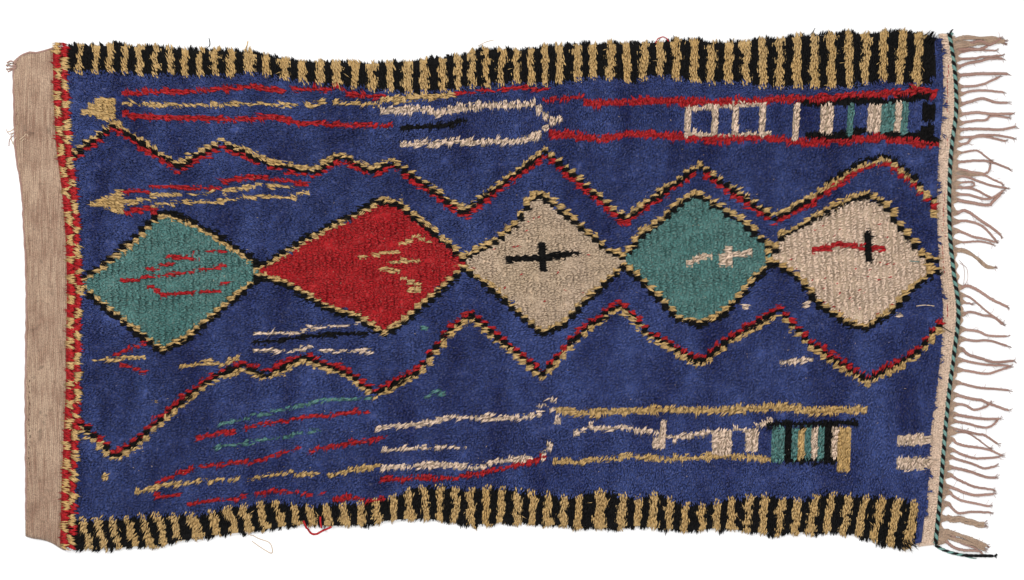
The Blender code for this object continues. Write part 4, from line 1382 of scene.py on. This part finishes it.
class RUG_OT_pile(Operator):
    """Adds the knotted pile, one piece for each wool"""

    bl_idname = "rug.pile"
    bl_label = "Knotted Pile"

    def execute(self, context):
        sizes = context.scene.rug_sizes
        groups = {}
        field_locks(groups, sizes)
        check_locks(groups, sizes)
        rng = np.random.default_rng(33)
        for is_far in (True, False):
            border_locks(groups, sizes, is_far, rng)
        stray_fibres(groups)
        for key, skein in sorted(groups.items()):
            if key >= BLUE_PARTS:
                name, slot, look = f"blue_pile_{key - BLUE_PARTS + 1}", "blue_pile", "blue"
            elif key == PALE:
                name, slot, look = "pale_pile", "ivory_pile", "pale"
            else:
                look = KNOT_NAMES[key]
                name = slot = f"{look}_pile"
            carry(skein.make(name, wool(look)), slot, "rug_body")
        return {"FINISHED"}


class RUG_OT_band(Operator):
    """Adds the low ribbed band between the pile and the cord"""

    bl_idname = "rug.band"
    bl_label = "Low Band"

    def execute(self, context):
        rng = np.random.default_rng(44)
        share = ((np.arange(BAND_ROWS) + 0.4) / BAND_ROWS)[:, None]
        across = ((np.arange(BAND_KNOTS) + 0.5) / BAND_KNOTS)[None]
        y = np.broadcast_to(BAND_NEAR_END + across * BAND_LENGTH, (BAND_ROWS, BAND_KNOTS))
        start = band_start(y) - np.interp(y, (-0.65, -0.54), (0.03, 0.0))
        x = (start + (cord_line(y) - 0.004 - start) * share).ravel()
        y = y.ravel()
        flecks = Skein()
        for place, top, bottom in BAND_FLECKS:
            for down in np.arange(top, bottom, 5.0):
                left = place + rng.normal(0, 0.6)
                ends = from_chart((left, down, left + rng.normal(0, 0.5), down + rng.uniform(2, 5)))
                flecks.yarn(at_height(ends, FLECK_HEIGHT), 0.0008, 4, tone=0.4)
        groups = {}
        count = len(x)
        for _ in range(2):
            lay_fine_locks(
                groups, IVORY, x + rng.normal(0, 0.0012, count), y + rng.normal(0, 0.0009, count),
                math.pi * rng.integers(0, 2, count) + rng.normal(0, 0.3, count),
                BAND_LOCK_LENGTH * rng.uniform(0.8, 1.25, count),
                BAND_LOCK_HEIGHT * rng.uniform(0.92, 1.06, count),
                BAND_LOCK_HALF_WIDTH * rng.uniform(0.8, 1.2, count), rng.uniform(0.4, 0.65, count),
            )
        carry(groups[IVORY].make("band_pile", wool("pale")), "ivory_pile", "rug_body")
        carry(flecks.make("band_flecks", wool("red")), "red_pile")
        return {"FINISHED"}


class RUG_OT_cord(Operator):
    """Adds the two plies of the twined cord and its loose end"""

    bl_idname = "rug.cord"
    bl_label = "Twined Cord"

    def execute(self, context):
        y = np.arange(CORD_NEAR_END, CORD_FAR_END, 0.0022)
        path = at_height(np.column_stack((cord_line(y), y)), CORD_HEIGHT)
        for ply, (kind, look) in enumerate((("teal", "cord"), ("black", "black"))):
            skein = Skein()
            turned = CORD_PITCH, ply * math.pi, CORD_ASIDE, CORD_LIFT
            points, half = ply_path(path, CORD_DIAMETER / 2, *turned)
            skein.yarn(points, half, sides=8)
            for turn, reach in CORD_TUFT[kind]:
                out = np.array((math.cos(math.radians(turn)), math.sin(math.radians(turn)), 0.1))
                skein.yarn([points[-4], points[-1], points[-1] + out * reach], 0.0015)
            carry(skein.make(f"cord_{kind}_ply", wool(look)), "cord_wool", "twined_cord")
        route = smooth_path([(x * MM, y * MM, TAIL_HEIGHT * MM) for x, y in TAIL_ROUTE], 6)
        tail = Skein()
        for ply, tone in ((0, 0.5), (1, 0.6)):
            turned = CORD_PITCH, ply * math.pi, CORD_ASIDE, CORD_LIFT
            points, half = ply_path(route, TAIL_DIAMETER / 2, *turned)
            tail.yarn(points, half, sides=8, tone=tone)
        piece = tail.make("cord_end", wool("cord"))
        piece.data.materials.append(wool("black"))
        dark_from = int(len(piece.data.polygons) // 2 * TAIL_DARK_FROM)
        for face in piece.data.polygons[dark_from:]:
            face.material_index = 1
        carry(piece, "cord_wool", "cord_tail")
        world = [(x - RUG_MIDDLE_X, y - RUG_MIDDLE_Y, z) for x, y, z in route]
        splay = Skein()
        rng = np.random.default_rng(9)
        end = route[-1]
        for _ in range(TAIL_HAIRS):
            turn = math.radians(rng.uniform(-32, 32))
            reach = rng.uniform(0.006, 0.012)
            out = end + np.array((math.cos(turn), math.sin(turn), -0.1)) * reach
            splay.yarn([end - (0.004, 0, 0), end + (0.002, 0, 0), out], 0.0008, 4)
        fray = splay.make("cord_end_fray", wool("black"))
        carry(fray, "cord_wool")
        fork = route[int(len(route) * 0.6)]
        branch = Skein()
        for k in range(TAIL_BRANCHES):
            bend = fork + (0.012, -0.004 - 0.001 * k, -0.001)
            tip = fork + (0.025 + 0.003 * k, -0.009, -0.0025)
            branch.yarn(smooth_path([fork, bend, tip], 4), 0.0011)
        branch_piece = branch.make("cord_end_branch", wool("cord"))
        carry(branch_piece, "cord_wool")
        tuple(world[0])
        return {"FINISHED"}


def strand_path(row):
    """Width of a strand in metres and its smooth path on the floor."""
    return row[0] * MM * STRAND_SPREAD, even_path(smooth_path(from_chart(row[1:]), 8), 0.0028)


def lay_strand(number, row, strands, roots, fibres, rng):
    """Adds a strand of the fringe: bundles of two plies, frayed tips and the yarns at its root."""
    width, flat = strand_path(row)
    count = len(flat)
    share = np.linspace(0, 1, count)
    wave = 0.0007 * np.sin(share * 9 + number) + 0.0004 * rng.normal(0, 1, count)
    flat = np.column_stack((flat[:, 0], flat[:, 1] + wave))
    bundle = max(1, round(row[0] / BUNDLE_WIDTH))
    turns = rng.uniform(4, 7)
    for part in range(bundle):
        swing = np.sin(share * turns + part * math.tau / bundle + number)
        spread = (width / 2 - width / bundle / 2) * swing * 0.8
        aside = np.column_stack((flat[:, 0], flat[:, 1] + spread))
        one = at_height(aside, 0.42 * width / bundle + 0.0006)
        half = np.full(count, width / bundle / 2) * np.linspace(1.08, 0.82, count)
        half *= 1.0 if bundle == 1 else 1.5
        tone = rng.uniform(0.25, 0.75)
        thick = roots if bundle > 1 else strands
        thick.twist(one, half, STRAND_PITCH, (tone - 0.12, tone + 0.12), rng.uniform(0, 6))
        back = one[-1] - one[-3]
        back /= np.linalg.norm(back)
        side = np.array((-back[1], back[0], 0))
        for _ in range(TIP_FIBRES):
            turn = rng.normal(0, 0.5)
            reach = rng.uniform(0.005, 0.013)
            tip = one[-1] + (back * math.cos(turn) + side * math.sin(turn)) * reach
            tip[2] = 0.0008
            fibres.yarn([one[-3], one[-1], tip], 0.0005, 3, tone=tone)
    cord_x = float(cord_line(flat[:1, 1])[0]) + 0.003
    joint = min(4, count - 1)
    joint_height = width * 0.42 + (0.0020 if share[joint] < 0.15 else 0.0010)
    for k in np.linspace(-1, 1, ROOT_YARNS):
        start = np.array((cord_x, flat[0, 1] + k * 0.0105, 0.0045))
        bend = np.array((flat[0, 0] + 0.004, flat[0, 1] + k * 0.0035, 0.0048))
        end = np.array((flat[joint, 0], flat[joint, 1] + k * 0.0008, joint_height))
        roots.yarn(even_path(smooth_path([start, (start + bend) / 2, bend, end], 4), 0.004), 0.0011, 4)


class RUG_OT_fringe(Operator):
    """Adds the gathered strip and the twisted strands of the fringe"""

    bl_idname = "rug.fringe"
    bl_label = "Fringe"

    def execute(self, context):
        def height(x, y):
            gathers = 0.0007 * np.cos(y / 0.0042 * math.tau)
            return STRIP_TOP + gathers + 0.0004 * soft_noise(x, y, 0.02, 5)

        strip = woven_grid(
            "gathered_strip", 12, 260,
            lambda y: cord_line(y) + 0.002,
            lambda y: strip_edge(y) - 0.006 + 0.0035 * np.sin(y / 0.0275 * math.tau),
            height, STRIP_THICKNESS, [weave(*STRIP_WEAVE)],
        )
        carry(strip, "warp_wool", "end_fringe")
        rng = np.random.default_rng(61)
        strands, fibres, roots = Skein(), Skein(), Skein()
        for number, row in enumerate(STRANDS):
            lay_strand(number, row, strands, roots, fibres, rng)
        carry(strands.make("fringe_strands", wool("fringe")), "warp_wool", "end_fringe")
        carry(roots.make("fringe_roots", weave(*STRIP_WEAVE)), "warp_wool")
        for _ in range(FRINGE_HAIRS):
            flat = strand_path(STRANDS[rng.integers(0, len(STRANDS))])[1]
            start = flat[rng.integers(1, len(flat))]
            turn = rng.normal(0, 0.7)
            reach = rng.uniform(0.006, 0.02)
            bend = rng.normal(0, 0.5)
            middle = start + np.array((math.cos(turn), math.sin(turn))) * reach * 0.5
            tip = middle + np.array((math.cos(turn + bend), math.sin(turn + bend))) * reach * 0.5
            rest = [(*start, 0.004), (*middle, 0.0025), (*tip, 0.0008)]
            fibres.yarn(rest, 0.0004, 3, tone=rng.uniform(0.4, 0.9))
        carry(fibres.make("fringe_fibres", wool("fringe")), "warp_wool")
        return {"FINISHED"}


def yarn_height(x, y):
    """How high a loose yarn lies on the pile, the woven end and the floor."""
    edge = np.minimum(far_edge(x) - y, y - near_edge(x))
    on_pile = (x > pile_start(y)) & (edge > 0.0) & (x < cord_line(y))
    height = np.where(on_pile, YARN_ON_PILE, YARN_ON_WEAVE)
    height = np.where(edge < 0, YARN_ON_FLOOR, height)
    return np.where(x < weft_edge(y), YARN_PAST_WEFT, height)


class RUG_OT_loose_yarns(Operator):
    """Adds loose yarn ends, stray fibres, the corner tuft and the mending stitches"""

    bl_idname = "rug.loose_yarns"
    bl_label = "Loose Yarns"

    def execute(self, context):
        rng = np.random.default_rng(77)
        skeins = {}
        for kind, width, places in LOOSE_YARNS:
            flat = even_path(smooth_path(from_chart(places), 8), 0.003)
            path = at_height(flat, yarn_height(flat[:, 0], flat[:, 1]))
            skeins.setdefault(kind, Skein()).yarn(path, width * MM / 2, 4, tone=0.6)
        for y in np.arange(380, 470, 5.5):
            x = 30 + rng.normal(0, 0.5)
            ends = from_chart((x, y, x + rng.normal(0, 0.5), y + rng.uniform(1.5, 3)))
            skeins["black"].yarn(at_height(ends, STITCH_HEIGHT), 0.0006, 4, tone=0.7)
        for kind, skein in skeins.items():
            look, slot = ("fringe", "weft_wool") if kind == "weft" else (kind, f"{kind}_pile")
            carry(skein.make(f"loose_{kind}_yarns", wool(look)), slot)
        return {"FINISHED"}


class RUG_OT_stage(Operator):
    """Adds the pale floor, the soft lights and the camera above the rug"""

    bl_idname = "rug.stage"
    bl_label = "Studio"

    def execute(self, context):
        deselect_all()
        bpy.ops.mesh.primitive_plane_add(size=FLOOR_SIZE)
        floor = context.object
        floor.name = floor.data.name = "studio_floor"
        material = bpy.data.materials.new("pale floor")
        material.use_nodes = True
        tree = material.node_tree
        shader = tree.nodes["Principled BSDF"]
        shader.inputs["Roughness"].default_value = 0.9
        grain = add_node(tree, "ShaderNodeTexNoise", {"Scale": 3.0})
        ramp = add_node(tree, "ShaderNodeValToRGB", {"Fac": grain.outputs["Fac"]})
        ramp.color_ramp.elements[0].color = (0.87, 0.87, 0.87, 1)
        ramp.color_ramp.elements[1].color = (0.9, 0.9, 0.9, 1)
        tree.links.new(ramp.outputs["Color"], shader.inputs["Base Color"])
        floor.data.materials.append(material)
        floor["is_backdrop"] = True
        for name, place, size, power in LIGHTS:
            bpy.ops.object.light_add(type="AREA", location=place)
            light = context.object
            light.name = light.data.name = name
            light.data.energy = power
            light.data.size = size
            tilt = math.atan2(math.hypot(place[0], place[1]), place[2])
            light.rotation_euler = (tilt, 0.0, math.atan2(place[1], place[0]) + math.pi / 2)
        world = context.scene.world or bpy.data.worlds.new("Studio")
        context.scene.world = world
        world.use_nodes = True
        background = world.node_tree.nodes["Background"]
        background.inputs["Color"].default_value = (1, 1, 1, 1)
        background.inputs["Strength"].default_value = WORLD_LIGHT
        context.scene.view_settings.view_transform = "Standard"
        place = (-RUG_MIDDLE_X, -RUG_MIDDLE_Y, CAMERA_HEIGHT)
        bpy.ops.object.camera_add(location=place, rotation=(0.0, 0.0, 0.0))
        camera = context.object
        camera.name = camera.data.name = "Camera"
        camera.data.sensor_width = SENSOR_WIDTH
        camera.data.lens = SENSOR_WIDTH * CAMERA_HEIGHT / (CHART_WIDTH * CHART_SQUARE)
        camera.data.clip_end = 50.0
        context.scene.camera = camera
        return {"FINISHED"}


class RUG_OT_cloth_facts(Operator):
    """Gathers the shown pieces other than the cloth and the cord's end pieces"""

    bl_idname = "rug.cloth_facts"
    bl_label = "Cloth Facts"

    def execute(self, context):
        on_it = [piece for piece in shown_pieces() if piece.name not in CORD_PIECES]
        cloth = bpy.data.objects["rug_cloth"]
        on_it.remove(cloth)
        return {"FINISHED"}


BUILDERS = (
    RUG_OT_stage, RUG_OT_cord, RUG_OT_ground, RUG_OT_weft_end, RUG_OT_pile, RUG_OT_band,
    RUG_OT_fringe, RUG_OT_loose_yarns, RUG_OT_cloth_facts,
)


class RUG_PT_panel(Panel):
    """Lists the pieces of the rug"""

    bl_idname = "RUG_PT_panel"
    bl_label = "Knotted Rug"
    bl_space_type = "VIEW_3D"
    bl_region_type = "UI"
    bl_category = "Rug"

    def draw(self, context):
        for builder in BUILDERS:
            self.layout.operator(builder.bl_idname)
        for group in (context.scene.rug_sizes, context.scene.rug_colours):
            box = self.layout.box()
            for name in group.bl_rna.properties.keys():
                if name not in ("rna_type", "name"):
                    box.prop(group, name)


CLASSES = (RugSizes, RugColours, *BUILDERS, RUG_PT_panel)


def register():
    for item in CLASSES:
        bpy.utils.register_class(item)
    bpy.types.Scene.rug_sizes = PointerProperty(type=RugSizes)
    bpy.types.Scene.rug_colours = PointerProperty(type=RugColours)


def unregister():
    del bpy.types.Scene.rug_colours
    del bpy.types.Scene.rug_sizes
    for item in reversed(CLASSES):
        bpy.utils.unregister_class(item)


def main():
    register()
    bpy.ops.rug.stage()
    bpy.ops.rug.cord()
    bpy.ops.rug.ground()
    bpy.ops.rug.weft_end()
    bpy.ops.rug.pile()
    bpy.ops.rug.band()
    bpy.ops.rug.fringe()
    bpy.ops.rug.loose_yarns()
    bpy.ops.rug.cloth_facts()


if __name__ == "__main__":
    main()
